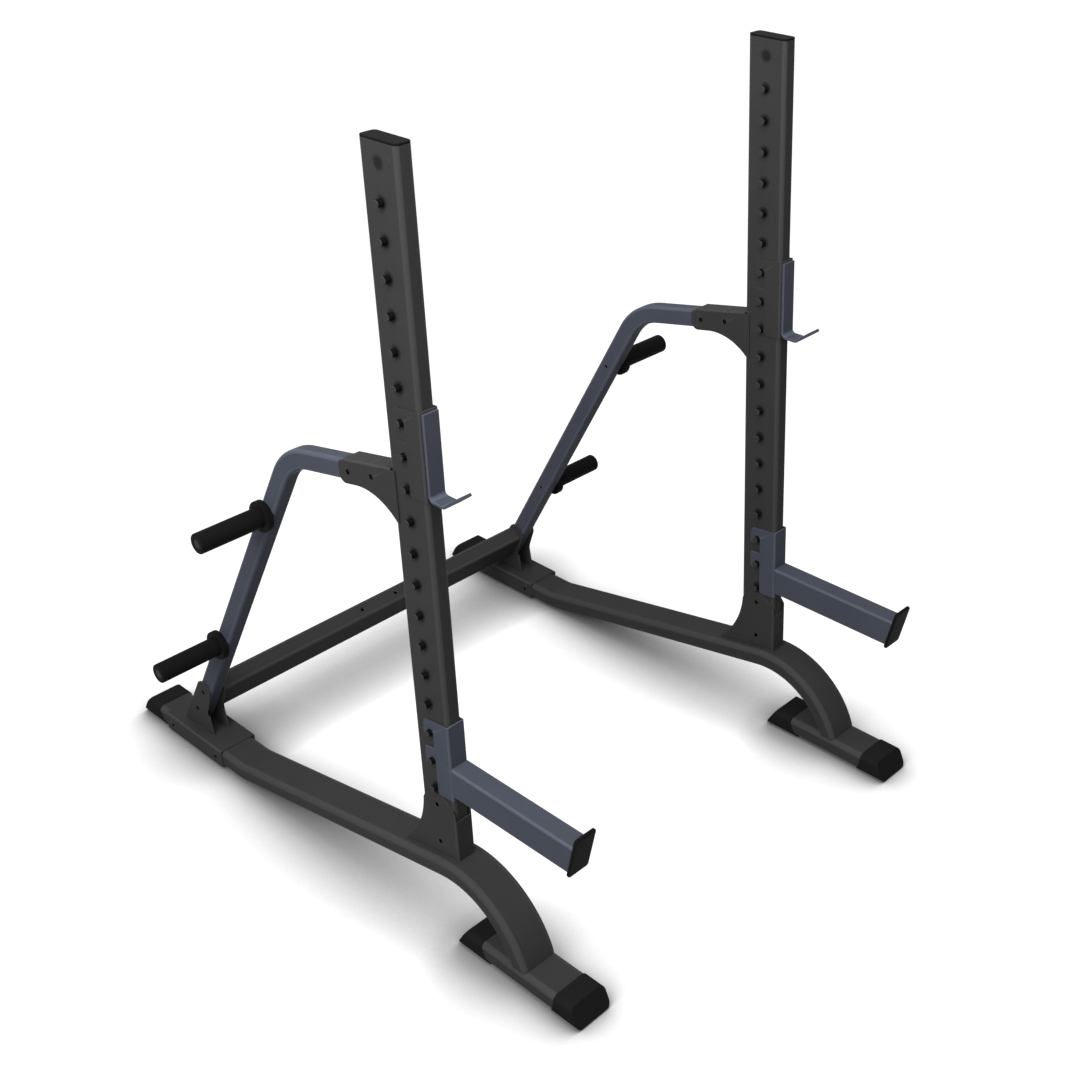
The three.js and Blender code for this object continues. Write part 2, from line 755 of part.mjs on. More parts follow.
// A block round the arm between two planes parallel to the cap's back face.
function armBlock(behind, ahead) {
  const low = -armUnderside - cutOverrun;
  const high = -armUnderside + armHeight + cutOverrun;
  const outline = outlineOf([
    [capY(low, -behind), low], [capY(low, ahead), low],
    [capY(high, ahead), high], [capY(high, -behind), high]]);
  return sidePlate(outline, -armWidth, armWidth);
}

function spotterArm() {
  const tube = bentTube(armStations(armBack), armWidth, armHeight, armCorner, armWall);
  return tube.intersect(armBlock(armReach + armHeight, -seatGap));
}

function armCap() {
  const half = armCapWidth / 2;
  const outline = outlineOf([
    [-half, 0, armCapCorner], [half, 0, armCapCorner],
    [half, armCapLength, armCapCorner], [-half, armCapLength, armCapCorner]]);
  const tilted = new THREE.Matrix4().makeTranslation(0, capHeel.y, capHeel.z)
    .multiply(new THREE.Matrix4().makeRotationX(armCapTilt))
    .multiply(frontView);
  const face = extruded(outline, -armCapThick, 0, tilted);
  const inside = armWall + seatGap;
  const back = capY(-armUnderside, -armCapPlug - cutOverrun);
  const plug = bentBar(
    armStations(back), armWidth - 2 * inside, armHeight - 2 * inside, armCorner - armWall);
  return face.add(plug.intersect(armBlock(armCapPlug, armCapThick / 2)));
}

// assembly

function piece(name, solid, finish) {
  const mesh = new THREE.Mesh(
    geometryOf(solid),
    new THREE.MeshStandardMaterial({ ...finishes[finish], flatShading: true }));
  mesh.name = name;
  return mesh;
}

function hungOnPin(number, ...pieces) {
  const group = new THREE.Group();
  group.position.z = pinHeight(number);
  group.add(...pieces);
  return group;
}

function sideFrame(label, side) {
  const frame = new THREE.Group();
  const add = (name, solid, finish) => frame.add(piece(`${label}_${name}`, solid, finish));
  add('base_rail', baseRail(), 'charcoal');
  add('front_foot', frontFoot(), 'charcoal');
  add('foot_front_boot', rubberBoot(frontBoot), 'rubber');
  add('foot_rear_boot', rubberBoot(middleBoot), 'rubber');
  add('rail_rear_boot', rubberBoot(rearBoot), 'rubber');
  add('upright_socket', uprightSocket(), 'charcoal');
  add('upright', upright(), 'charcoal');
  add('upright_cap', topCap(), 'plastic');
  add('brace', brace(side), 'slate');
  add('brace_bracket', braceBracket(), 'charcoal');
  add('rear_saddle', rearSaddle(), 'charcoal');
  add('clevis_plate_outer', clevisPlate(side), 'charcoal');
  add('clevis_plate_inner', clevisPlate(-side), 'charcoal');
  bracketBolts.forEach((y, k) => add(`bracket_bolt_${k + 1}`, boltAt(y), 'steel'));
  clevisBolts.forEach((y, k) => add(`clevis_bolt_${k + 1}`, boltAt(y), 'steel'));
  pegPlaces.forEach((y, k) => {
    const name = k === 0 ? 'upper' : 'lower';
    add(`${name}_peg_collar`, pegCollar(y, side), 'plastic');
    add(`${name}_peg_sleeve`, pegSleeve(y, side), 'plastic');
    add(`${name}_peg_core`, pegCore(y, side), 'steel');
  });
  frame.add(hungOnPin(
    cupPin,
    piece(`${label}_cup_bracket`, hookBracket(), 'charcoal'),
    piece(`${label}_cup_strap`, cupStrap(), 'slate')));
  frame.add(hungOnPin(
    armPin,
    piece(`${label}_arm_bracket`, hookBracket(), 'slate'),
    piece(`${label}_spotter_arm`, spotterArm(), 'slate'),
    piece(`${label}_arm_cap`, armCap(), 'plastic')));
  frame.position.x = side * uprightSpacing / 2;
  return frame;
}

const rack = new THREE.Group();
rack.add(sideFrame('left', -1), sideFrame('right', 1), piece('cross_beam', crossBeam(), 'charcoal'));
rack.position.y = -rackMiddleY;

export default rack;
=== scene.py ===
import math

import bmesh
import bpy
from mathutils import Matrix, Vector

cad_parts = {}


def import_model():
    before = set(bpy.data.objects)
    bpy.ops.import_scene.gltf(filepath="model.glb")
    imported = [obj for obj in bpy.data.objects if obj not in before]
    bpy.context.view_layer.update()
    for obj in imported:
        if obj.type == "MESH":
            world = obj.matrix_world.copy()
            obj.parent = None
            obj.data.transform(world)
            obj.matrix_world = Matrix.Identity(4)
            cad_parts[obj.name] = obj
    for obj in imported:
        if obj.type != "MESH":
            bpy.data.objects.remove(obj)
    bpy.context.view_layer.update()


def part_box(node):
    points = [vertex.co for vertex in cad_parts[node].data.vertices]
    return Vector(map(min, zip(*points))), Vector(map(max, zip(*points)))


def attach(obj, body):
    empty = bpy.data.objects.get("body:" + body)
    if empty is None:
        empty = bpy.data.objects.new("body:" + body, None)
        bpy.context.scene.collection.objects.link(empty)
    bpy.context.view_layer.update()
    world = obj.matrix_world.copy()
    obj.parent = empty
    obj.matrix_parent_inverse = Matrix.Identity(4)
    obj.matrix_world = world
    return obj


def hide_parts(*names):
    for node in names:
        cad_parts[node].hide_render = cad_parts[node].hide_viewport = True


# Lengths are in millimetres until a mesh is made, and in metres for the floor and the lamps.
# X runs across, -Y is the lifter's side, Z is up. One side frame is drawn about its own middle
# plane, with Y = 0 on the uprights' middle plane.

MM = 0.001

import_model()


def low(node):
    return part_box(node)[0] / MM


def high(node):
    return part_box(node)[1] / MM


def middle(node):
    return (low(node) + high(node)) / 2


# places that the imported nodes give

cap_low = low("left_upright_cap")
cap_high = high("left_upright_cap")
foot_low = low("left_front_foot")
foot_high = high("left_front_foot")
rail_low = low("left_base_rail")
rail_high = high("left_base_rail")
UPRIGHT_PLANE = middle("left_upright_cap").y
FRAME_X = {"left": middle("left_upright_cap").x, "right": middle("right_upright_cap").x}
OUTWARD = {"left": -1, "right": 1}

# clearances and folded plate

SEAT_GAP = 0.3
BOLT_GAP = 1.6
NOTCH_GAP = 0.35
PLATE = 4
FOLD_RADIUS = 5
PLATE_EDGE = 0.55

# uprights

UPRIGHT_WIDTH = cap_high.x - cap_low.x
UPRIGHT_DEPTH = cap_high.y - cap_low.y
UPRIGHT_CORNER = 10
UPRIGHT_WALL = 3
CAP_FLANGE = 4.6
CAP_BEVEL = 1.6
CAP_PLUG = 24
CAP_WALL = 2.5
CAP_LEAST_CORNER = 1
UPRIGHT_TOP = cap_high.z - CAP_FLANGE - SEAT_GAP
PIN_PITCH = 75
PIN_COUNT = 19
LOWEST_PIN = 403
PIN_RADIUS = 8
PIN_REACH = 15
PIN_EDGE = 0.9
PIN_FACE = 1.2
# painted shadow round the root of each pin: the reach where it fades out, and its darkness at the pin
PIN_SHADOW_REACH = 19
PIN_SHADOW_TONE = 0.4
MARK_RADIUS = 9.5
MARK_RISE = 0.6
MARK_SPACING = 53
MARK_BELOW_TOP = 34.5
UPRIGHT_FOOT_CLEAR = 2.5

# base rail and front foot

RAIL_WIDTH = rail_high.x - rail_low.x
RAIL_HEIGHT = foot_high.z - foot_low.z
RAIL_UNDERSIDE = foot_low.z
RAIL_CORNER = 14
RAIL_WALL = 3
RAIL_KNEE_Y = 806
RAIL_CROWN_MIDDLE = 198.5
RAIL_SLOPE = math.radians(11.3)
RAIL_KNEE_RADIUS = 150
RAIL_SHOULDER_RADIUS = 250
RAIL_ARCH_RADIUS = 214
RAIL_ARCH_TURN = math.radians(78)
RAIL_REAR_END = rail_high.y - UPRIGHT_PLANE
FOOT_FRONT_END = foot_low.y - UPRIGHT_PLANE
FOOT_REAR_END = foot_high.y - UPRIGHT_PLANE
TUBE_EDGE = 0.6

# rubber boots

BOOT_WALL = 2.4
BOOT_SOLE_CORNER = 20
BOOT_SOLE_EDGE = 5
BOOT_TIP_RISE = 4
BOOT_EDGE = 0.8
BOOT_EDGE_STEPS = 2
BOOT_EDGE_PROFILE = 0.5
BOOT_STOP = 1
BOOTS = {
    "foot_front_boot": {
        "tip": -457, "top": -434.5, "rim": -381.5, "rim_flat": 27, "sole_lead": 15,
        "tube_end": FOOT_FRONT_END, "facing": -1},
    "foot_rear_boot": {
        "tip": -61, "top": -94.5, "rim": -147, "rim_flat": 31, "sole_lead": 22,
        "tube_end": FOOT_REAR_END, "facing": 1},
    "rail_rear_boot": {
        "tip": 1271, "top": 1238, "rim": 1184.5, "rim_flat": 30, "sole_lead": 32,
        "tube_end": RAIL_REAR_END, "facing": 1},
}

# socket under an upright

SOCKET_TOP = 386
SOCKET_CROWN_Y = -4
SOCKET_CROWN_RADIUS = 57.6
SOCKET_LIP = 332
SOCKET_LIP_CORNER = 3
SOCKET_LIP_INSET = 0.4
SOCKET_LIP_RUN = 6
SOCKET_EAR_INSET = 1.2
SOCKET_EAR_DROP = 4
SOCKET_EAR_CORNER = 3
SOCKET_BACK_Y = 48.7
SOCKET_FLARE = (55, 264)
SOCKET_TOE_Y = 126
SOCKET_TOE_RISE = 2.5
SOCKET_HOLES = (355, 250)
SOCKET_HOLE_RADIUS = 5

# saddle over the rail's rear end

SADDLE_FRONT = 883.5
SADDLE_REAR = 1144.5
SADDLE_HEM = 8
SADDLE_HOLES = (912, 1116)
SADDLE_HOLE_HEIGHT = 30
SADDLE_HOLE_RADIUS = 4.5

# brace, its bracket and its clevis plates

BRACE_WIDTH = 40.6
BRACE_DEPTH = 48.5
BRACE_CORNER = 9
BRACE_WALL = 3
BRACE_TOP_SLOPE = math.radians(11.59)
BRACE_LEG_SLOPE = math.radians(58.78)
BRACE_BEND = (439, 1074.1)
BRACE_BEND_RADIUS = 170
BRACE_FOOT_Y = 1033
BRACE_END_CLEAR = 2.4
BOLT_RADIUS = 4.2
BOLT_SINK = 1.2
BOLT_EDGE = 0.5
BRACKET_BOLTS = (118.5, 198.9)
CLEVIS_BOLTS = (974.5, 1018)
BRACKET_LAP = 16.5
BRACKET_HEM_DROP = 4.2
BRACKET_TOP_END = 216
BRACKET_TAIL = 231.3
BRACKET_TAIL_CORNER = 19
BRACKET_STRAIGHT_END = 175.6
BRACKET_ARCH_RADIUS = 147
BRACKET_TOE_Y = 44
BRACKET_TOE_CORNER = 2.5
BRACKET_CHEEK_GAP = 0.2
BRACKET_PANEL_INSET = 1
BRACKET_PANEL_STEP = 1.2
CLEVIS_TOP_Y = 971.8
CLEVIS_REACH = 29
CLEVIS_FRONT_Y = 957
CLEVIS_WAIST = (967, 128)
CLEVIS_WAIST_RADIUS = 38

# cross beam

BEAM_WIDTH = 50
BEAM_DEPTH = 100
BEAM_CORNER = 9
BEAM_SET_BACK = 1.9
BEAM_WALL = 3
BEAM_HOLE_OFFSET = 60
BEAM_HOLE_RADIUS = 4.5

# weight pegs

PEG_PLACES = {"upper": 553.6, "lower": 847.9}
PEG_RADIUS = 25
PEG_EDGE = 4
PEG_REACH = 178
PEG_CORE_RADIUS = 11.5
PEG_CORE_SINK = 0.8
PEG_CORE_EDGE = 1
PEG_HOLE_RADIUS = 4.5
COLLAR_RADIUS = 38.3
COLLAR_THICK = 16.5
COLLAR_EDGE = 2.4
COLLAR_HEEL_EDGE = 1
COLLAR_BORE_EDGE = 0.6

# hooked brackets, cup strap and spotter arm

CUP_PIN = 12
ARM_PIN = 2
LIP_REACH = 24
LIP_DROP = 17.5
LIP_CORNER = 6
LIP_INNER_CORNER = 2
HOOK_CROWN = 30.9
HOOK_TILT = 0.11
HOOK_BACK_CORNER = 16
SLOT_FLOOR = 43
SLOT_CORNER = 4
HOOK_HEEL_CORNER = 5
HOOK_FOOT = 166.9
HOOK_FOOT_CORNER = 10
STRAP_WIDTH = 40
STRAP_THICK = 7
STRAP_CORNER = 1.8
STRAP_TOP = 34
STRAP_SEAT = 156.5
STRAP_SEAT_REACH = 41
STRAP_LIP_RUN = 43
STRAP_LIP_SLOPE = math.radians(36.5)
STRAP_BEND_RADIUS = 12
STRAP_LIP_RADIUS = 14
ARM_WIDTH = 50.6
ARM_HEIGHT = 75.6
ARM_CORNER = 6
ARM_WALL = 3
ARM_UNDERSIDE = 146.3
ARM_REACH = 359.2
ARM_CAP_DROP = 6.3
ARM_CAP_WIDTH = 58.5
ARM_CAP_LENGTH = 117
ARM_CAP_THICK = 8
ARM_CAP_CORNER = 8
ARM_CAP_EDGE = 1.5
ARM_CAP_TILT = math.radians(15)

# how finely curves are cut

LEAST_STEPS = 2
CORNER_STEPS = 8
BEND_STEP = math.radians(3)
ARC_STEP = math.radians(5)
FOLD_STEPS = 8
TURN_SIDES = 64
PIN_SIDES = 40
HOLE_SIDES = 32
SMOOTH_ANGLE = math.radians(52)

# coats: what counts as a rounded edge, which gets a painted highlight, and as a hole's wall, which gets
# painted shade, and how a coat varies

ROUNDED = "rounded"
ROUND_STRIP = 3.4
ROUND_HIGHLIGHT_TONE = 1.4
HOLE_STRIP = 5
HOLE_TURN = 0.05
NOISE_LOW = 0.3
NOISE_HIGH = 0.7
GRAIN_DETAIL = 3
GRAIN_SHARE = 0.65
CLOUD_SCALE = 7
CLOUD_DETAIL = 2
CLOUD_SHARE = 0.35
GLOSS_BELOW = 0.05
GLOSS_ABOVE = 0.07
BUMP_STRENGTH = 0.5
# black, the painted shade in the walls of holes
HOLE_WALL_SHADE = (0, 0, 0, 1)
WHITE = (1, 1, 1, 1)

# photograph's camera

CAMERA_PLACE = Vector((-2266.66, -2302.71, 2679.28))
CAMERA_AZIMUTH = math.radians(-48.43)
CAMERA_ELEVATION = math.radians(26.32)
PHOTO_SIDE = 1080
FOCAL_PIXELS = 1585.8
CENTRE_PIXEL = (707.42, 424.71)
SENSOR = 36
CAMERA_REACH = 100

# floor, world and lamps: each lamp has its place, its size and its watts

FLOOR_HALF = 40
FLOOR_WHITE = 0.2
FLOOR_BOUNCE = 0.2
FLOOR_GLOW = 1.0
SHADE_REACH = 0.22
SHADE_DEPTH = 3.4
WORLD_LEVEL = 0.3
LAMP_TARGET = Vector((0, 0, 0.9))
LAMPS = {
    "key": ((-3.3, -0.8, 3.4), 3.0, 125),
    "front_left": ((-3.0, -3.0, 3.0), 2.0, 25),
    "middle": ((-0.3, -1.0, 3.2), 2.0, 30),
}

# derived places

RAIL_MIDDLE = RAIL_UNDERSIDE + RAIL_HEIGHT / 2
FOOT_TOP = RAIL_UNDERSIDE + RAIL_HEIGHT
RAIL_CROWN_TOP = RAIL_CROWN_MIDDLE + RAIL_HEIGHT / 2
RAIL_CROWN_CORNER = RAIL_KNEE_Y - (RAIL_CROWN_MIDDLE - RAIL_MIDDLE) / math.tan(RAIL_SLOPE)
RAIL_CROWN_START = RAIL_CROWN_CORNER - RAIL_SHOULDER_RADIUS * math.tan(RAIL_SLOPE / 2)
UPRIGHT_BOTTOM = RAIL_CROWN_TOP + UPRIGHT_FOOT_CLEAR
SADDLE_TOP = FOOT_TOP + SEAT_GAP + PLATE
PLATE_INNER = UPRIGHT_WIDTH / 2 + SEAT_GAP
PLATE_OUTER = PLATE_INNER + PLATE
FRONT_OUTER = -UPRIGHT_DEPTH / 2 - SEAT_GAP - PLATE
NOTCH_RADIUS = PIN_RADIUS + NOTCH_GAP
STRAP_Y = FRONT_OUTER - SEAT_GAP - STRAP_THICK / 2
ARM_BACK = FRONT_OUTER - SEAT_GAP
CAP_HEEL = (ARM_BACK - ARM_REACH, -ARM_UNDERSIDE - ARM_CAP_DROP)
BRACE_FACE = BRACE_WIDTH / 2 + SEAT_GAP
COLLAR_FACE = BRACE_FACE + COLLAR_THICK
PEG_BORE = PEG_CORE_RADIUS + SEAT_GAP
COLLAR_BORE = PEG_RADIUS + SEAT_GAP
PEG_END = BRACE_WIDTH / 2 + PEG_REACH


def rail_top_at(y):
    radius = RAIL_SHOULDER_RADIUS + RAIL_HEIGHT / 2
    curve_end = RAIL_CROWN_START + radius * math.sin(RAIL_SLOPE)
    on_curve = max(min(y, curve_end) - RAIL_CROWN_START, 0)
    fall = radius - math.sqrt(radius ** 2 - on_curve ** 2)
    return RAIL_CROWN_TOP - fall - max(y - curve_end, 0) * math.tan(RAIL_SLOPE)


def on_brace(y):
    slope = BRACE_TOP_SLOPE if y < BRACE_BEND[0] else BRACE_LEG_SLOPE
    return (y, BRACE_BEND[1] - (y - BRACE_BEND[0]) * math.tan(slope))


def pin_height(number):
    return LOWEST_PIN + number * PIN_PITCH


# outlines in a plane

def round_pairs(items):
    return list(zip(items, items[1:] + items[:1]))


def arc(centre, radius, start, end):
    steps = max(LEAST_STEPS, math.ceil(abs(end - start) / ARC_STEP))
    angles = [start + (end - start) * k / steps for k in range(steps + 1)]
    return [Vector((centre[0] + radius * math.cos(a), centre[1] + radius * math.sin(a))) for a in angles]


def rounded_corner(before, here, after, radius):
    inward = (Vector(before) - Vector(here)).normalized()
    outward = (Vector(after) - Vector(here)).normalized()
    half = inward.angle(outward) / 2
    run = radius / math.tan(half)
    centre = Vector(here) + (inward + outward).normalized() * radius / math.sin(half)
    first = Vector(here) + inward * run - centre
    last = Vector(here) + outward * run - centre
    start = math.atan2(first.y, first.x)
    sweep = (math.atan2(last.y, last.x) - start + math.pi) % math.tau - math.pi
    return arc(centre, radius, start, start + sweep)


# Points (u, v) or (u, v, corner radius), joined into a line that closes on itself or not.
def outline(entries, closed=True):
    points = []
    last = len(entries) - 1
    for k, entry in enumerate(entries):
        ends_here = not closed and k in (0, last)
        if len(entry) > 2 and not ends_here:
            after = entries[(k + 1) % len(entries)]
            points += rounded_corner(entries[k - 1][:2], entry[:2], after[:2], entry[2])
        else:
            points.append(Vector(entry[:2]))
    return points


def hole_loop(centre, radius):
    angles = [-math.tau * k / HOLE_SIDES for k in range(HOLE_SIDES)]
    return [Vector((centre[0] + radius * math.cos(a), centre[1] + radius * math.sin(a))) for a in angles]


def anticlockwise(loop):
    area = sum(a.x * b.y - b.x * a.y for a, b in round_pairs(loop))
    return loop if area > 0 else loop[::-1]


# Draws a loop in by an amount, to its left: inward for an outline, wider for a hole.
def drawn_in(loop, amount):
    moved = []
    for k, here in enumerate(loop):
        along = (here - loop[k - 1]).normalized()
        onward = (loop[(k + 1) % len(loop)] - here).normalized()
        first = Vector((-along.y, along.x))
        second = Vector((-onward.y, onward.x))
        moved.append(here + (first + second) * amount / (1 + first.dot(second)))
    return moved


def rounded_loop(half_u, half_v, radius):
    loop = []
    for quarter, (sign_u, sign_v) in enumerate(((1, 1), (-1, 1), (-1, -1), (1, -1))):
        for k in range(CORNER_STEPS + 1):
            angle = (quarter + k / CORNER_STEPS) * math.pi / 2
            u = sign_u * (half_u - radius) + radius * math.cos(angle)
            v = sign_v * (half_v - radius) + radius * math.sin(angle)
            loop.append((u, v))
    return loop


# solids in bmesh

def stitch(bm, rows, ring=False):
    pairs = list(zip(rows, rows[1:]))
    if ring:
        pairs.append((rows[-1], rows[0]))
    for near, far in pairs:
        for k in range(len(near)):
            after = (k + 1) % len(near)
            bm.faces.new((near[k], near[after], far[after], far[k]))


def skin(loops, ring=False):
    bm = bmesh.new()
    rows = [[bm.verts.new(p) for p in loop] for loop in loops]
    stitch(bm, rows, ring)
    if not ring:
        bm.faces.new(rows[0])
        bm.faces.new(rows[-1])
    return bm


def edges_round(bm, row):
    return [bm.edges.get(pair) for pair in round_pairs(row)]


# Stations (y, z, heading) along a line of corners in the Y-Z plane, each with its bend radius.
def stations_along(corners, radii):
    headings = [math.atan2(b[1] - a[1], b[0] - a[0]) for a, b in zip(corners, corners[1:])]
    stations = [(*corners[0], headings[0])]
    for corner, radius, before, after in zip(corners[1:], radii, headings, headings[1:]):
        turn = (after - before + math.pi) % math.tau - math.pi
        signed = math.copysign(radius, turn)
        run = signed * math.tan(turn / 2)
        centre_y = corner[0] - run * math.cos(before) - signed * math.sin(before)
        centre_z = corner[1] - run * math.sin(before) + signed * math.cos(before)
        steps = max(LEAST_STEPS, round(abs(turn) / BEND_STEP))
        for k in range(steps + 1):
            angle = before + turn * k / steps
            y = centre_y + signed * math.sin(angle)
            z = centre_z - signed * math.cos(angle)
            stations.append((y, z, angle))
    stations.append((*corners[-1], headings[-1]))
    return stations


def section_at(station, half_u, half_v, radius, shift=0):
    y, z, angle = station
    along_y, along_z = math.cos(angle), math.sin(angle)
    return [
        Vector((u, y - along_z * v + along_y * shift, z + along_y * v + along_z * shift))
        for u, v in rounded_loop(half_u, half_v, radius)]


# A bar or, with a wall, a tube along stations. Its end edges are softened.
def bent_bar(stations, width, depth, corner, edge, wall=0):
    def section(station, thinner, shift=0):
        return section_at(station, width / 2 - thinner, depth / 2 - thinner, corner - thinner, shift)
    first, last = stations[0], stations[-1]
    inner = stations[1:-1]
    outside = [section(first, edge), section(first, 0, edge)]
    outside += [section(s, 0) for s in inner]
    outside += [section(last, 0, -edge), section(last, edge)]
    if not wall:
        return skin(outside)
    inside = [section(last, wall)] + [section(s, wall) for s in reversed(inner)] + [section(first, wall)]
    return skin(outside + inside, ring=True)


# A flat sheet between depth 0 and its thickness, with softened rims.
def flat_sheet(outer, holes, thickness, edge):
    bm = bmesh.new()
    rims = ([], [])
    for loop in [anticlockwise(outer)] + holes:
        rows = []
        for depth, amount in ((0, edge), (edge, 0), (thickness - edge, 0), (thickness, edge)):
            rows.append([bm.verts.new((p.x, p.y, depth)) for p in drawn_in(loop, amount)])
        stitch(bm, rows)
        for rim, row in zip(rims, (rows[0], rows[-1])):
            rim += edges_round(bm, row)
    for rim in rims:
        bmesh.ops.triangle_fill(bm, edges=rim, use_beauty=True)
    return bm


# A sheet folded round two edges into a channel. Its half outline runs [depth behind the panel's
# outer face, place along the fold], from the panel's middle round and back to the middle.
# The fold is bent in place, and the channel is put where placed(across, depth, along) says.
def folded_sheet(half_outline, holes, half_width, placed):
    flat = half_width - FOLD_RADIUS
    bend = (FOLD_RADIUS - PLATE / 2) * math.pi / 2

    def spread(point):
        return Vector((flat + bend + point[0] - FOLD_RADIUS, point[1]))

    right = [Vector((0, p[1])) if p[0] is None else spread(p) for p in half_outline]
    left = [Vector((-p.x, p.y)) for p in reversed(right) if p.x > 0]
    rings = []
    for centre, radius in holes:
        for sign in (1, -1):
            at = spread(centre)
            rings.append(hole_loop((sign * at.x, at.y), radius))
    bm = flat_sheet(right + left, rings, PLATE, PLATE_EDGE)
    for sign in (1, -1):
        for k in range(FOLD_STEPS + 1):
            place = (sign * (flat + bend * k / FOLD_STEPS), 0, 0)
            bmesh.ops.bisect_plane(
                bm, geom=bm.verts[:] + bm.edges[:] + bm.faces[:], plane_co=place, plane_no=(1, 0, 0))
    for vert in bm.verts:
        run, along, inward = vert.co
        sign = math.copysign(1, run)
        beyond = abs(run) - flat
        if beyond <= 0:
            across, depth = run, inward
        elif beyond >= bend:
            across = sign * (half_width - inward)
            depth = FOLD_RADIUS + beyond - bend
        else:
            angle = beyond / bend * math.pi / 2
            across = sign * (flat + (FOLD_RADIUS - inward) * math.sin(angle))
            depth = FOLD_RADIUS - (FOLD_RADIUS - inward) * math.cos(angle)
        vert.co = placed(across, depth, along)
    return bm


# A turned body about X. The profile runs (x, radius) and closes on itself or meets the axis.
def turned(profile, y, z, sides=TURN_SIDES):
    ring = profile[0] == profile[-1]
    stops = profile[:-1] if ring else profile
    loops = []
    for x, radius in stops:
        angles = [math.tau * k / sides for k in range(sides)]
        loops.append([Vector((x, y + radius * math.cos(a), z + radius * math.sin(a))) for a in angles])
    bm = bmesh.new()
    rows = [[bm.verts.new(p) for p in loop] for loop in loops]
    stitch(bm, rows, ring)
    bmesh.ops.remove_doubles(bm, verts=bm.verts, dist=MM)
    return bm


def soft_profile(entries, sign=1):
    return [(sign * p.x, p.y) for p in outline(entries, closed=False)]


def soft_ring_profile(entries, sign=1):
    points = [(sign * p.x, p.y) for p in outline(entries)]
    return points + points[:1]


def merged(*bodies):
    whole = bmesh.new()
    for body in bodies:
        mesh = bpy.data.meshes.new("part")
        body.to_mesh(mesh)
        body.free()
        whole.from_mesh(mesh)
        bpy.data.meshes.remove(mesh)
    return whole


# from solids to pieces

def in_scene(name, data):
    thing = bpy.data.objects.new(name, data)
    bpy.context.scene.collection.objects.link(thing)
    return thing


# Volume inside closed faces, which is below zero where they look inward.
def volume_of(faces):
    total = 0
    for face in faces:
        first, *others = [v.co for v in face.verts]
        total += sum(first.dot(a.cross(b)) for a, b in zip(others, others[1:]))
    return total / 6


# Turns the faces of each closed body outward, also where a folded shape misleads Blender's own test.
def turn_outward(bm):
    bmesh.ops.recalc_face_normals(bm, faces=bm.faces)
    waiting = set(bm.faces)
    while waiting:
        newest = {waiting.pop()}
        body = set(newest)
        while newest:
            beside = {f for face in newest for edge in face.edges for f in edge.link_faces}
            newest = beside - body
            body |= newest
        waiting -= body
        if volume_of(body) < 0:
            bmesh.ops.reverse_faces(bm, faces=list(body))


def mesh_of(bm, name, origin):
    turn_outward(bm)
    bm.transform(Matrix.Translation(origin))
    bm.transform(Matrix.Scale(MM, 4))
    mesh = bpy.data.meshes.new(name)
    bm.to_mesh(mesh)
    bm.free()
    return mesh


def drill(piece, bars, origin):
    cutter = in_scene("cutter", mesh_of(merged(*bars), "cutter", origin))
    cut = piece.modifiers.new("drill", "BOOLEAN")
    cut.operation = "DIFFERENCE"
    cut.solver = "EXACT"
    cut.object = cutter
    graph = bpy.context.evaluated_depsgraph_get()
    mesh = bpy.data.meshes.new_from_object(piece.evaluated_get(graph))
    piece.modifiers.clear()
    piece.data = mesh
    bpy.data.objects.remove(cutter)


def bar_along_x(y, z, radius, low_x, high_x):
    return turned([(low_x, 0), (low_x, radius), (high_x, radius), (high_x, 0)], y, z, HOLE_SIDES)


def longest_side(mesh, face):
    places = [mesh.vertices[v].co for v in face.vertices]
    return max((a - b).length for a, b in round_pairs(places))


# Tells whether the narrow faces on both sides of a face turn inward, as they do in a hole's wall.
def turns_inward(mesh, face, neighbours):
    rises = [(mesh.polygons[other].center - face.center).dot(face.normal) for other in neighbours]
    return sum(rise > HOLE_TURN * MM for rise in rises) > 1


# Marks the rounded edges of tubes and folds with 1, for a painted highlight: strips of narrow quads, away
# from any broad face.
# The walls of holes are marked with -1, for painted shade.
def mark_rounds(mesh):
    strips = {
        face.index for face in mesh.polygons
        if len(face.vertices) == 4 and face.area < longest_side(mesh, face) * ROUND_STRIP * MM}
    broad = {v for face in mesh.polygons if face.index not in strips for v in face.vertices}
    beside = {}
    for index in strips:
        for edge in mesh.polygons[index].edge_keys:
            beside.setdefault(edge, []).append(index)
    level = mesh.attributes.new(ROUNDED, "FLOAT", "CORNER")
    for index in strips:
        face = mesh.polygons[index]
        small = longest_side(mesh, face) < HOLE_STRIP * MM
        neighbours = {other for edge in face.edge_keys for other in beside[edge]} - {index}
        hollow = small and turns_inward(mesh, face, neighbours)
        for corner in face.loop_indices:
            edge_level = float(mesh.loops[corner].vertex_index not in broad)
            level.data[corner].value = -1 if hollow else edge_level


def make_piece(name, bm, origin, finish, body, nodes, bars=()):
    piece = in_scene(name, mesh_of(bm, name, origin))
    if bars:
        drill(piece, bars, origin)
    piece.data.materials.clear()
    piece.data.materials.append(finish["material"])
    for face in piece.data.polygons:
        face.use_smooth = True
    piece.data.set_sharp_from_angle(angle=SMOOTH_ANGLE)
    mark_rounds(piece.data)
    weighted = piece.modifiers.new("weighted normals", "WEIGHTED_NORMAL")
    weighted.keep_sharp = True
    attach(piece, body)
    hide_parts(*nodes)
    return piece


# materials

# Sets each input of a node to a value, or links it from another node's output.
def wire(tree, node, inputs):
    for name, value in inputs.items():
        if isinstance(value, bpy.types.NodeSocket):
            tree.links.new(value, node.inputs[name])
        else:
            node.inputs[name].default_value = value


def shader_node(tree, kind, inputs=None, **settings):
    node = tree.nodes.new(f"ShaderNode{kind}")
    for name, value in settings.items():
        setattr(node, name, value)
    wire(tree, node, inputs or {})
    return node


def counted(tree, operation, first, second=0):
    return shader_node(tree, "Math", {0: first, 1: second}, operation=operation).outputs["Value"]


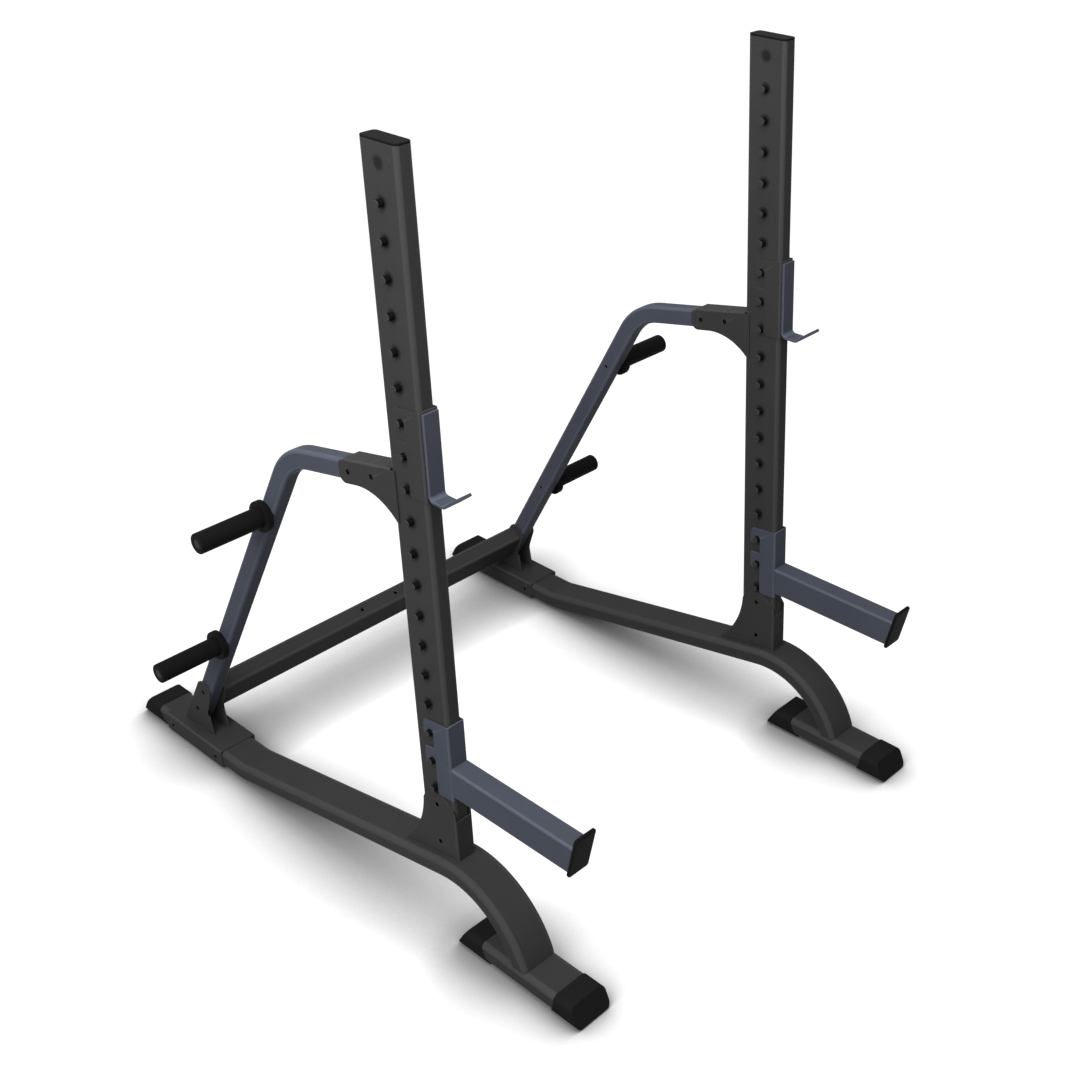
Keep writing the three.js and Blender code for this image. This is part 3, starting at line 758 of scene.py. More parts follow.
def mixed(tree, factor, first, second, blend="MIX"):
    inputs = {"Factor": factor, "A": first, "B": second}
    return shader_node(tree, "Mix", inputs, data_type="RGBA", blend_type=blend).outputs["Result"]


def tinted(colour, share):
    return (*[c * share for c in colour], 1)


def noise(tree, place, scale, detail):
    return shader_node(tree, "TexNoise", {"Vector": place, "Scale": scale, "Detail": detail}).outputs["Fac"]


# Stretches the middle of a noise over the range from one value to another.
def spread_over(tree, level, low_value, high_value):
    return shader_node(tree, "MapRange", {
        "Value": level, "From Min": NOISE_LOW, "From Max": NOISE_HIGH,
        "To Min": low_value, "To Max": high_value}).outputs["Result"]


# A coat whose tone, gloss and height vary with a fine grain and a slow cloud. With its edge flag it follows
# the marks of mark_rounds:
# a painted highlight lightens rounded edges and painted shade turns the walls of holes black. Its shade
# function, called with (tree, place), says how much painted shade dims it where.
def grained(name, slot, colour, tone, rough, index, grain_scale, height, painted_highlight_and_hole_shade=False, painted_shade=None):
    material = bpy.data.materials.new(name)
    material.use_nodes = True
    tree = material.node_tree
    place = shader_node(tree, "TexCoord").outputs["Object"]
    grain = noise(tree, place, grain_scale, GRAIN_DETAIL)
    cloud = noise(tree, place, CLOUD_SCALE, CLOUD_DETAIL)
    fine = spread_over(tree, grain, 0, GRAIN_SHARE)
    slow = spread_over(tree, cloud, 0, CLOUD_SHARE)
    level = counted(tree, "ADD", fine, slow)
    coloured = mixed(tree, level, tinted(colour, 1 - tone), tinted(colour, 1 + tone))
    if painted_highlight_and_hole_shade:
        # painted highlight on rounded edges, then painted shade in the walls of holes
        rounded = shader_node(tree, "Attribute", attribute_name=ROUNDED).outputs["Fac"]
        coloured = mixed(tree, rounded, coloured, tinted(colour, ROUND_HIGHLIGHT_TONE))
        coloured = mixed(tree, counted(tree, "MULTIPLY", rounded, -1), coloured, HOLE_WALL_SHADE)
    # painted shade multiplies the colour here, such as the shadow rings round the pins
    if painted_shade:
        coloured = mixed(tree, 1, coloured, painted_shade(tree, place), "MULTIPLY")
    bump = shader_node(tree, "Bump", {"Strength": BUMP_STRENGTH, "Distance": height * MM, "Height": grain})
    wire(tree, tree.nodes["Principled BSDF"], {
        "IOR": index,
        "Base Color": coloured,
        "Roughness": spread_over(tree, grain, rough - GLOSS_BELOW, rough + GLOSS_ABOVE),
        "Normal": bump.outputs["Normal"]})
    return {"material": material, "slot": slot}


# One, less a painted shadow: a soft dark ring round the root of each pin, on the upright's own heights.
def painted_pin_shadows(tree, place):
    axes = shader_node(tree, "SeparateXYZ", {"Vector": place}).outputs
    half_pitch = PIN_PITCH / 2 * MM
    level = counted(tree, "MINIMUM", axes["Z"], pin_height(PIN_COUNT - 1) * MM + half_pitch)
    beyond = counted(tree, "SUBTRACT", axes["Z"], level)
    turns = counted(tree, "SUBTRACT", level, LOWEST_PIN * MM - half_pitch)
    within = counted(tree, "FLOORED_MODULO", turns, PIN_PITCH * MM)
    rise = counted(tree, "ADD", counted(tree, "SUBTRACT", within, half_pitch), beyond)
    aside = counted(tree, "SUBTRACT", axes["Y"], UPRIGHT_PLANE * MM)
    squares = [counted(tree, "MULTIPLY", offset, offset) for offset in (rise, aside)]
    return shader_node(tree, "MapRange", {
        "Value": counted(tree, "SQRT", counted(tree, "ADD", *squares)),
        "From Min": PIN_RADIUS * MM, "From Max": PIN_SHADOW_REACH * MM,
        "To Min": PIN_SHADOW_TONE, "To Max": 1}, interpolation_type="SMOOTHSTEP").outputs["Result"]


# Linear colour from the three levels, 0 to 255, of an sRGB one.
def linear(*levels):
    def channel(level):
        share = level / 255
        return share / 12.92 if share <= 0.04045 else ((share + 0.055) / 1.055) ** 2.4
    return [channel(level) for level in levels]


# powder coats get painted highlights on rounded edges and painted shade in the walls of holes
POWDER = {"rough": 0.42, "index": 1.06, "grain_scale": 420, "height": 0.12, "painted_highlight_and_hole_shade": True}
PAINTED = {"colour": linear(61, 60, 60), "tone": 0.14, **POWDER}
CHARCOAL = grained("charcoal_coat", "charcoal_powder_coat", **PAINTED)
# the upright's coat also carries painted shadow rings round its pins
UPRIGHT_PAINTED_SHADOW_COAT = grained("upright_coat_painted_shadows", "charcoal_powder_coat", **PAINTED, painted_shade=painted_pin_shadows)
SLATE = grained("slate_coat", "slate_powder_coat", linear(76, 80, 91), tone=0.12, **POWDER)
RUBBER = grained(
    "boot_rubber", "black_rubber", linear(33, 33, 33),
    tone=0.1, rough=0.7, index=1.06, grain_scale=600, height=0.08)
PLASTIC = grained(
    "moulded_plastic", "black_plastic", linear(25, 25, 25),
    tone=0.1, rough=0.5, index=1.06, grain_scale=700, height=0.05)
METAL = {"tone": 0.1, "rough": 0.45, "grain_scale": 500, "height": 0.06}
STEEL = grained("core_steel", "bolt_steel", linear(50, 50, 49), index=1.1, **METAL)
BLACK_STEEL = grained("bolt_steel", "bolt_steel", linear(24, 24, 24), index=1.06, **METAL)


# pieces of one side frame

def base_rail():
    run = RAIL_ARCH_RADIUS * math.tan(RAIL_ARCH_TURN / 2)
    arch_y = RAIL_CROWN_START - run
    down = (arch_y - run * math.cos(RAIL_ARCH_TURN), RAIL_CROWN_MIDDLE - run * math.sin(RAIL_ARCH_TURN))
    corners = [
        (RAIL_REAR_END, RAIL_MIDDLE), (RAIL_KNEE_Y, RAIL_MIDDLE),
        (RAIL_CROWN_CORNER, RAIL_CROWN_MIDDLE), (arch_y, RAIL_CROWN_MIDDLE), down]
    stations = stations_along(corners, [RAIL_KNEE_RADIUS, RAIL_SHOULDER_RADIUS, RAIL_ARCH_RADIUS])
    return bent_bar(stations[:-1], RAIL_WIDTH, RAIL_HEIGHT, RAIL_CORNER, TUBE_EDGE, RAIL_WALL)


# The arch ends on the front foot, and only what lies ahead of the crown is cut.
def cut_rail_foot(rail):
    level = FOOT_TOP + SEAT_GAP
    front = RAIL_CROWN_START - RAIL_ARCH_RADIUS / 2
    ahead = [v for v in rail.verts if v.co.y < front]
    for group in (rail.edges, rail.faces):
        ahead += [part for part in group if all(v.co.y < front for v in part.verts)]
    cut = bmesh.ops.bisect_plane(rail, geom=ahead, plane_co=(0, 0, level), plane_no=(0, 0, -1))
    below = [v for v in rail.verts if v.co.y < front and v.co.z < level - MM]
    bmesh.ops.delete(rail, geom=below, context="VERTS")
    rims = [e for e in cut["geom_cut"] if isinstance(e, bmesh.types.BMEdge) and e.is_valid]
    bmesh.ops.triangle_fill(rail, edges=rims, use_beauty=True)
    return rail


def front_foot():
    stations = [(y, RAIL_MIDDLE, 0) for y in (FOOT_FRONT_END, FOOT_REAR_END)]
    return bent_bar(stations, RAIL_WIDTH, RAIL_HEIGHT, RAIL_CORNER, TUBE_EDGE, RAIL_WALL)


# Outside of a boot's section, with a point on each lower corner at the height where the tip starts.
def boot_section(half, height):
    top = RAIL_CORNER + BOOT_WALL
    sole = BOOT_SOLE_CORNER
    tip_angle = math.asin((sole - BOOT_TIP_RISE) / sole)
    right = arc((half - sole, sole), sole, -math.pi / 2, -tip_angle)
    right += arc((half - sole, sole), sole, -tip_angle, 0)[1:]
    right += arc((half - top, height - top), top, 0, math.pi / 2)
    left = [Vector((-p.x, p.y)) for p in reversed(right)]
    return right + left


# A boot takes a tube's end. Its flat end face leans back, and its sole runs on past its rim.
def rubber_boot(tip, top, rim, rim_flat, sole_lead, tube_end, facing):
    half = RAIL_WIDTH / 2 + SEAT_GAP + BOOT_WALL
    height = FOOT_TOP + SEAT_GAP + BOOT_WALL
    section = boot_section(half, height)

    def tip_at(z):
        if z < BOOT_TIP_RISE:
            return tip - facing * (BOOT_TIP_RISE - z)
        return tip + (top - tip) * (z - BOOT_TIP_RISE) / (height - BOOT_TIP_RISE)

    def rim_at(z):
        share = min(max((rim_flat - z) / (rim_flat - BOOT_SOLE_EDGE), 0), 1)
        return rim - facing * sole_lead * share

    hollow = [
        (u, RAIL_MIDDLE + v)
        for u, v in rounded_loop(RAIL_WIDTH / 2 + SEAT_GAP, RAIL_HEIGHT / 2 + SEAT_GAP, RAIL_CORNER)]
    stop = tube_end + facing * BOOT_STOP
    bm = bmesh.new()
    front = [bm.verts.new((p.x, tip_at(p.y), p.y)) for p in section]
    back = [bm.verts.new((p.x, rim_at(p.y), p.y)) for p in section]
    mouth = [bm.verts.new((x, rim_at(z), z)) for x, z in hollow]
    inside = [bm.verts.new((x, stop, z)) for x, z in hollow]
    stitch(bm, [front, back])
    stitch(bm, [mouth, inside])
    bm.faces.new(inside)
    low_part = [v for v in front if v.co.z <= BOOT_TIP_RISE + MM]
    high_part = [v for v in front if v.co.z >= BOOT_TIP_RISE - MM]
    bm.faces.new(high_part)
    bm.faces.new(low_part)
    bmesh.ops.triangle_fill(bm, edges=edges_round(bm, back) + edges_round(bm, mouth), use_beauty=True)
    bmesh.ops.recalc_face_normals(bm, faces=bm.faces)
    bmesh.ops.bevel(
        bm, geom=edges_round(bm, front) + edges_round(bm, back), offset=BOOT_EDGE, offset_type="OFFSET",
        segments=BOOT_EDGE_STEPS, profile=BOOT_EDGE_PROFILE, affect="EDGES", clamp_overlap=True)
    for vert in bm.verts:
        vert.co.z = max(vert.co.z, 0)
        vert.co.y -= facing * max(facing * (vert.co.y - tip), 0)
    return bm


def upright_socket():
    crown_z = SOCKET_TOP - SOCKET_CROWN_RADIUS
    centre = (SOCKET_CROWN_Y, crown_z)

    def angle_at(y):
        return math.acos((y - SOCKET_CROWN_Y) / SOCKET_CROWN_RADIUS)

    crown = arc(centre, SOCKET_CROWN_RADIUS, angle_at(SOCKET_BACK_Y), angle_at(FRONT_OUTER + FOLD_RADIUS))
    toe = Vector((SOCKET_TOE_Y, rail_top_at(SOCKET_TOE_Y) + SEAT_GAP + SOCKET_TOE_RISE))
    flare = Vector(SOCKET_FLARE)
    steps = 3 * CORNER_STEPS
    back = []
    for k in range(steps):
        t = k / steps
        back.append(toe * (1 - t) ** 2 + flare * 2 * t * (1 - t) + crown[0] * t ** 2)
    hem = []
    for k in range(steps + 1):
        y = FRONT_OUTER + (SOCKET_TOE_Y - FRONT_OUTER) * k / steps
        hem.append((y, rail_top_at(y) + SEAT_GAP))
    half = [(None, hem[0][1])]
    half += [(y - FRONT_OUTER, z) for y, z in hem]
    half += [(p.x - FRONT_OUTER, p.y) for p in back + crown]
    fold_top = crown[-1].y
    lip = outline([
        (FOLD_RADIUS, fold_top), (SOCKET_EAR_INSET, fold_top - SOCKET_EAR_DROP, SOCKET_EAR_CORNER),
        (SOCKET_LIP_INSET, SOCKET_LIP, SOCKET_LIP_CORNER), (-SOCKET_LIP_RUN, SOCKET_LIP)], closed=False)
    half += [(p.x, p.y) for p in lip[1:-1]]
    half.append((None, SOCKET_LIP))
    holes = [((-FRONT_OUTER, z), SOCKET_HOLE_RADIUS) for z in SOCKET_HOLES]
    return folded_sheet(half, holes, PLATE_OUTER, lambda x, depth, z: (x, FRONT_OUTER + depth, z))


def rear_saddle():
    inner = RAIL_WIDTH / 2 + SEAT_GAP
    drop = SADDLE_TOP - SADDLE_HEM
    half = [(None, SADDLE_FRONT), (drop, SADDLE_FRONT), (drop, SADDLE_REAR), (None, SADDLE_REAR)]
    holes = [((SADDLE_TOP - SADDLE_HOLE_HEIGHT, y), SADDLE_HOLE_RADIUS) for y in SADDLE_HOLES]
    return folded_sheet(half, holes, inner + PLATE, lambda x, depth, y: (x, y, SADDLE_TOP - depth))


def clevis_plate(outward):
    foot = SADDLE_TOP + SEAT_GAP
    square = math.pi / 2 - BRACE_LEG_SLOPE
    crown = arc(on_brace(CLEVIS_TOP_Y), CLEVIS_REACH, square, square + math.pi)
    heel = crown[0].x + (crown[0].y - foot) / math.tan(BRACE_LEG_SLOPE)
    entries = [(CLEVIS_FRONT_Y, foot), (heel, foot)]
    entries += [tuple(p) for p in crown]
    entries.append((*CLEVIS_WAIST, CLEVIS_WAIST_RADIUS))
    holes = [hole_loop(on_brace(y), BOLT_RADIUS + BOLT_GAP) for y in CLEVIS_BOLTS]
    bm = flat_sheet(outline(entries), holes, PLATE, PLATE_EDGE)
    for vert in bm.verts:
        y, z, depth = vert.co
        vert.co = (outward * (PLATE_INNER + depth), y, z)
    return bm


def upright():
    stations = [(0, UPRIGHT_BOTTOM, math.pi / 2), (0, UPRIGHT_TOP, math.pi / 2)]
    return bent_bar(stations, UPRIGHT_WIDTH, UPRIGHT_DEPTH, UPRIGHT_CORNER, TUBE_EDGE, UPRIGHT_WALL)


# A stub on each side of an upright, rooted in its wall unless it starts further out.
def stubs(y, z, radius, reach, edge, start=-UPRIGHT_WALL / 2):
    root = UPRIGHT_WIDTH / 2 + start
    end = UPRIGHT_WIDTH / 2 + reach
    profile = [(root, 0), (root, radius), (end, radius, edge), (end, 0)]
    return [turned(soft_profile(profile, sign), y, z, PIN_SIDES) for sign in (1, -1)]


def upright_pins():
    bodies = []
    for k in range(PIN_COUNT):
        bodies += stubs(0, pin_height(k), PIN_RADIUS, PIN_REACH - PIN_FACE, 0)
    return merged(*bodies)


# The pins' end faces wear the upright's coat, and so do the two marks near its top.
def pin_faces():
    bodies = []
    for k in range(PIN_COUNT):
        bodies += stubs(0, pin_height(k), PIN_RADIUS, PIN_REACH, PIN_EDGE, PIN_REACH - PIN_FACE)
    for y in (-MARK_SPACING / 2, MARK_SPACING / 2):
        bodies += stubs(y, UPRIGHT_TOP - MARK_BELOW_TOP, MARK_RADIUS, MARK_RISE, MARK_RISE / 2)
    return merged(*bodies)


def upright_cap():
    base = UPRIGHT_TOP + SEAT_GAP
    top = base + CAP_FLANGE
    bore = UPRIGHT_WALL + SEAT_GAP
    plug_top = base + CAP_FLANGE / 2
    plug_foot = base - CAP_PLUG

    def level(slimmer, z):
        corner = max(UPRIGHT_CORNER - slimmer, CAP_LEAST_CORNER)
        loop = rounded_loop(UPRIGHT_WIDTH / 2 - slimmer, UPRIGHT_DEPTH / 2 - slimmer, corner)
        return [Vector((u, v, z)) for u, v in loop]

    loops = [level(bore, base), level(0, base)]
    for k in range(CORNER_STEPS + 1):
        angle = k / CORNER_STEPS * math.pi / 2
        loops.append(level(CAP_BEVEL * (1 - math.cos(angle)), top - CAP_BEVEL * (1 - math.sin(angle))))
    plug = [
        level(bore, plug_top), level(bore, plug_foot),
        level(bore + CAP_WALL, plug_foot), level(bore + CAP_WALL, plug_top)]
    return merged(skin(loops), skin(plug, ring=True))


def brace():
    lean = BRACE_DEPTH / 2 * math.sin(BRACE_TOP_SLOPE)
    start = UPRIGHT_DEPTH / 2 + BRACE_END_CLEAR + lean
    corners = [on_brace(start), BRACE_BEND, on_brace(BRACE_FOOT_Y)]
    stations = stations_along(corners, [BRACE_BEND_RADIUS])
    return bent_bar(stations, BRACE_WIDTH, BRACE_DEPTH, BRACE_CORNER, TUBE_EDGE, BRACE_WALL)


def brace_bracket():
    along = Vector((math.cos(BRACE_TOP_SLOPE), -math.sin(BRACE_TOP_SLOPE)))
    down = Vector((-math.sin(BRACE_TOP_SLOPE), -math.cos(BRACE_TOP_SLOPE)))
    start = Vector(on_brace(0)) - down * (BRACE_DEPTH / 2 + SEAT_GAP + PLATE)
    rise = BRACE_DEPTH / 2 / math.cos(BRACE_TOP_SLOPE)
    front = UPRIGHT_DEPTH / 2 - BRACKET_LAP

    def hem_at(y):
        return on_brace(y)[1] - rise - BRACKET_HEM_DROP

    def top_at(y):
        return on_brace(y)[1] + rise + (SEAT_GAP + PLATE) / math.cos(BRACE_TOP_SLOPE)

    def turned_in(y, z):
        offset = Vector((y, z)) - start
        return (offset.dot(down), offset.dot(along))

    arch_y = BRACKET_STRAIGHT_END - BRACKET_ARCH_RADIUS * math.sin(BRACE_TOP_SLOPE)
    arch_z = hem_at(BRACKET_STRAIGHT_END) - BRACKET_ARCH_RADIUS * math.cos(BRACE_TOP_SLOPE)
    toe_angle = math.acos((BRACKET_TOE_Y - arch_y) / BRACKET_ARCH_RADIUS)
    hem = arc((arch_y, arch_z), BRACKET_ARCH_RADIUS, math.pi / 2 - BRACE_TOP_SLOPE, toe_angle)
    tail_low = (BRACKET_TAIL, hem_at(BRACKET_TAIL), BRACKET_TAIL_CORNER)
    tail_high = (BRACKET_TAIL, top_at(BRACKET_TAIL), BRACKET_TAIL_CORNER)
    toe = (front, hem[-1].y, BRACKET_TOE_CORNER)
    entries = [(BRACKET_TOP_END, top_at(BRACKET_TOP_END)), tail_high, tail_low]
    entries += [tuple(p) for p in hem] + [toe, (front, top_at(front))]
    cheek = [turned_in(*p) for p in outline(entries, closed=False)]
    behind_upright = turned_in(UPRIGHT_DEPTH / 2 + SEAT_GAP, top_at(UPRIGHT_DEPTH / 2 + SEAT_GAP))[1]
    top_end = cheek[0][1]
    edge = FOLD_RADIUS + BRACKET_CHEEK_GAP
    inset = FOLD_RADIUS - BRACKET_PANEL_INSET
    half = [(None, top_end), (inset, top_end)]
    half += [p for p in cheek[1:-1] if p[0] > edge]
    half += [(edge, cheek[-1][1] + BRACKET_PANEL_STEP), (inset, behind_upright), (None, behind_upright)]
    holes = [(turned_in(*on_brace(y)), BOLT_RADIUS + BOLT_GAP) for y in BRACKET_BOLTS]

    def placed(x, depth, run):
        at = start + down * depth + along * run
        return (x, at.x, at.y)

    return folded_sheet(half, holes, PLATE_OUTER, placed)


def bolt(y):
    end = PLATE_OUTER - BOLT_SINK
    profile = [(-end, 0), (-end, BOLT_RADIUS, BOLT_EDGE), (end, BOLT_RADIUS, BOLT_EDGE), (end, 0)]
    return turned(soft_profile(profile), *on_brace(y), PIN_SIDES)


def peg_collar(y, sign):
    profile = [
        (BRACE_FACE, COLLAR_BORE), (BRACE_FACE, COLLAR_RADIUS, COLLAR_HEEL_EDGE),
        (COLLAR_FACE, COLLAR_RADIUS, COLLAR_EDGE), (COLLAR_FACE, COLLAR_BORE, COLLAR_BORE_EDGE)]
    return turned(soft_ring_profile(profile, sign), *on_brace(y))


def peg_sleeve(y, sign):
    profile = [
        (BRACE_FACE, PEG_BORE), (BRACE_FACE, PEG_RADIUS),
        (PEG_END, PEG_RADIUS, PEG_EDGE), (PEG_END, PEG_BORE, PEG_CORE_EDGE)]
    return turned(soft_ring_profile(profile, sign), *on_brace(y))


def peg_core(y, sign):
    end = PEG_END - PEG_CORE_SINK
    profile = [
        (BRACE_FACE, 0), (BRACE_FACE, PEG_CORE_RADIUS), (end, PEG_CORE_RADIUS, PEG_CORE_EDGE), (end, 0)]
    return turned(soft_profile(profile, sign), *on_brace(y))


# pieces that hang on the pins, drawn about the upper pin that they hang on

def hook_bracket():
    def sloped(height):
        return lambda y: height - HOOK_TILT * y

    crown, slot, foot = sloped(HOOK_CROWN), sloped(-SLOT_FLOOR), sloped(-HOOK_FOOT)
    fold_y = FRONT_OUTER + FOLD_RADIUS
    lower_lip = -LIP_DROP - PIN_PITCH
    entries = [
        (fold_y, foot(fold_y)), (-NOTCH_RADIUS, foot(-NOTCH_RADIUS), HOOK_FOOT_CORNER),
        *[tuple(p) for p in arc((0, -PIN_PITCH), NOTCH_RADIUS, math.pi, 0)],
        (NOTCH_RADIUS, lower_lip, LIP_INNER_CORNER), (LIP_REACH, lower_lip, LIP_CORNER),
        (LIP_REACH, slot(LIP_REACH), HOOK_HEEL_CORNER),
        (-NOTCH_RADIUS, slot(-NOTCH_RADIUS), SLOT_CORNER),
        *[tuple(p) for p in arc((0, 0), NOTCH_RADIUS, math.pi, 0)],
        (NOTCH_RADIUS, -LIP_DROP, LIP_INNER_CORNER), (LIP_REACH, -LIP_DROP, LIP_CORNER),
        (LIP_REACH, crown(LIP_REACH), HOOK_BACK_CORNER), (fold_y, crown(fold_y))]
    half = [(None, foot(FRONT_OUTER))]
    half += [(p.x - FRONT_OUTER, p.y) for p in outline(entries, closed=False)]
    half.append((None, crown(FRONT_OUTER)))
    return folded_sheet(half, [], PLATE_OUTER, lambda x, depth, z: (x, FRONT_OUTER + depth, z))


def cup_strap():
    seat_y = STRAP_Y - STRAP_SEAT_REACH
    rise = STRAP_LIP_RUN * math.tan(STRAP_LIP_SLOPE)
    corners = [
        (STRAP_Y, STRAP_TOP), (STRAP_Y, -STRAP_SEAT), (seat_y, -STRAP_SEAT),
        (seat_y - STRAP_LIP_RUN, rise - STRAP_SEAT)]
    stations = stations_along(corners, [STRAP_BEND_RADIUS, STRAP_LIP_RADIUS])
    return bent_bar(stations, STRAP_WIDTH, STRAP_THICK, STRAP_CORNER, STRAP_CORNER / 2)


def cap_plane_y(z, ahead):
    return CAP_HEEL[0] - (z - CAP_HEEL[1]) * math.tan(ARM_CAP_TILT) - ahead / math.cos(ARM_CAP_TILT)


def spotter_arm():
    z = -ARM_UNDERSIDE + ARM_HEIGHT / 2

    def ring(thinner, place):
        loop = rounded_loop(ARM_WIDTH / 2 - thinner, ARM_HEIGHT / 2 - thinner, ARM_CORNER - thinner)
        return [Vector((u, place(z + v), z + v)) for u, v in loop]

    def back(shift):
        return lambda height: ARM_BACK - shift

    def front(shift):
        return lambda height: cap_plane_y(height, -SEAT_GAP - shift)

    loops = [
        ring(TUBE_EDGE, back(0)), ring(0, back(TUBE_EDGE)), ring(0, front(TUBE_EDGE)),
        ring(TUBE_EDGE, front(0)), ring(ARM_WALL, front(0)), ring(ARM_WALL, back(0))]
    return skin(loops, ring=True)


def arm_cap():
    half = ARM_CAP_WIDTH / 2
    corners = [(-half, 0), (half, 0), (half, ARM_CAP_LENGTH), (-half, ARM_CAP_LENGTH)]
    plate = outline([(*c, ARM_CAP_CORNER) for c in corners])
    bm = flat_sheet(plate, [], ARM_CAP_THICK, ARM_CAP_EDGE)
    up = Vector((0, -math.sin(ARM_CAP_TILT), math.cos(ARM_CAP_TILT)))
    ahead = Vector((0, -math.cos(ARM_CAP_TILT), -math.sin(ARM_CAP_TILT)))
    heel = Vector((0, *CAP_HEEL))
    for vert in bm.verts:
        x, run, depth = vert.co
        vert.co = heel + Vector((x, 0, 0)) + up * run + ahead * depth
    return bm


def cross_beam():
    half = FRAME_X["right"] - PLATE_OUTER - SEAT_GAP
    along_y, along_z = math.cos(BRACE_LEG_SLOPE), -math.sin(BRACE_LEG_SLOPE)
    middle_y, middle_z = on_brace(sum(CLEVIS_BOLTS) / 2)
    middle_y -= BEAM_SET_BACK * along_z
    middle_z += BEAM_SET_BACK * along_y

    def loop(x, thinner):
        points = rounded_loop(BEAM_DEPTH / 2 - thinner, BEAM_WIDTH / 2 - thinner, BEAM_CORNER - thinner)
        return [
            Vector((x, middle_y + along_y * u - along_z * v, middle_z + along_z * u + along_y * v))
            for u, v in points]

    bm = skin([
        loop(TUBE_EDGE - half, 0), loop(half - TUBE_EDGE, 0), loop(half, TUBE_EDGE),
        loop(half, BEAM_WALL), loop(-half, BEAM_WALL), loop(-half, TUBE_EDGE)], ring=True)
    bars = []
    tilt = Matrix.Rotation(math.pi / 2 + BRACE_LEG_SLOPE, 4, "X")
    for x in (-BEAM_HOLE_OFFSET, BEAM_HOLE_OFFSET):
        bar = bar_along_x(0, 0, BEAM_HOLE_RADIUS, -BEAM_WIDTH / 2, BEAM_WIDTH / 2)
        bar.transform(tilt @ Matrix.Rotation(math.pi / 2, 4, "Z"))
        bar.transform(Matrix.Translation(
            (x, middle_y - along_y * BEAM_DEPTH / 2, middle_z - along_z * BEAM_DEPTH / 2)))
        bars.append(bar)
    return bm, bars


# the rack

def hung(label, body, pin, pieces):
    origin = Vector((FRAME_X[label], UPRIGHT_PLANE, pin_height(pin)))
    for name, bm, finish in pieces:
        node = f"{label}_{name}"
        make_piece(f"{node}_detailed", bm, origin, finish, body, [node])


def side_frame(label):
    origin = Vector((FRAME_X[label], UPRIGHT_PLANE, 0))
    sign = OUTWARD[label]

    def add(name, bm, finish, nodes=None, bars=()):
        wanted = [f"{label}_{n}" for n in (nodes if nodes is not None else [name])]
        make_piece(f"{label}_{name}_detailed", bm, origin, finish, "frame", wanted, bars)

    saddle_bars = [
        bar_along_x(y, SADDLE_HOLE_HEIGHT, SADDLE_HOLE_RADIUS, -RAIL_WIDTH, RAIL_WIDTH)
        for y in SADDLE_HOLES]
    add("base_rail", cut_rail_foot(base_rail()), CHARCOAL, bars=saddle_bars)
    add("front_foot", front_foot(), CHARCOAL)
    for name, sizes in BOOTS.items():
        add(name, rubber_boot(**sizes), RUBBER)
    add("upright_socket", upright_socket(), CHARCOAL)
    socket_bars = [
        bar_along_x(0, z, SOCKET_HOLE_RADIUS, -RAIL_WIDTH, RAIL_WIDTH) for z in SOCKET_HOLES]
    add("upright", upright(), UPRIGHT_PAINTED_SHADOW_COAT, bars=socket_bars)
    add("upright_pins", upright_pins(), BLACK_STEEL, nodes=["upright"])
    add("upright_pin_faces", pin_faces(), CHARCOAL, nodes=["upright"])
    add("upright_cap", upright_cap(), PLASTIC)
    inward = sorted((0, -sign * BRACE_WIDTH))
    brace_bars = [bar_along_x(*on_brace(y), PEG_HOLE_RADIUS, *inward) for y in PEG_PLACES.values()]
    add("brace", brace(), SLATE, bars=brace_bars)
    add("brace_bracket", brace_bracket(), CHARCOAL)
    add("rear_saddle", rear_saddle(), CHARCOAL)
    add("clevis_plate_outer", clevis_plate(sign), CHARCOAL)
    add("clevis_plate_inner", clevis_plate(-sign), CHARCOAL)
    for kind, places in (("bracket", BRACKET_BOLTS), ("clevis", CLEVIS_BOLTS)):
        for k, y in enumerate(places):
            add(f"{kind}_bolt_{k + 1}", bolt(y), BLACK_STEEL)
    for name, y in PEG_PLACES.items():
        add(f"{name}_peg_collar", peg_collar(y, sign), PLASTIC)
        add(f"{name}_peg_sleeve", peg_sleeve(y, sign), PLASTIC)
        add(f"{name}_peg_core", peg_core(y, sign), STEEL)
    hung(label, f"{label}_cup", CUP_PIN, [
        ("cup_bracket", hook_bracket(), CHARCOAL), ("cup_strap", cup_strap(), SLATE)])
    hung(label, f"{label}_arm", ARM_PIN, [
        ("arm_bracket", hook_bracket(), SLATE), ("spotter_arm", spotter_arm(), SLATE),
        ("arm_cap", arm_cap(), PLASTIC)])


for label in ("left", "right"):
    side_frame(label)
beam, beam_bars = cross_beam()
beam_origin = Vector((0, UPRIGHT_PLANE, 0))
make_piece("cross_beam_detailed", beam, beam_origin, CHARCOAL, "frame", ["cross_beam"], beam_bars)


# floor, light and camera

# Lets light meet one surface, and the eye another, also in gloss and through glass.
def show(tree, output, for_light, for_sight):
    ray = shader_node(tree, "LightPath").outputs
    seen = counted(tree, "MAXIMUM", ray["Is Camera Ray"], ray["Is Glossy Ray"])
    seen = counted(tree, "MAXIMUM", seen, ray["Is Transmission Ray"])
    choice = shader_node(tree, "MixShader", {"Fac": seen, 1: for_light, 2: for_sight})
    shader_node(tree, output, {"Surface": choice.outputs["Shader"]})


def matt(tree, level):
    return shader_node(tree, "BsdfDiffuse", {"Color": (level, level, level, 1)}).outputs["BSDF"]


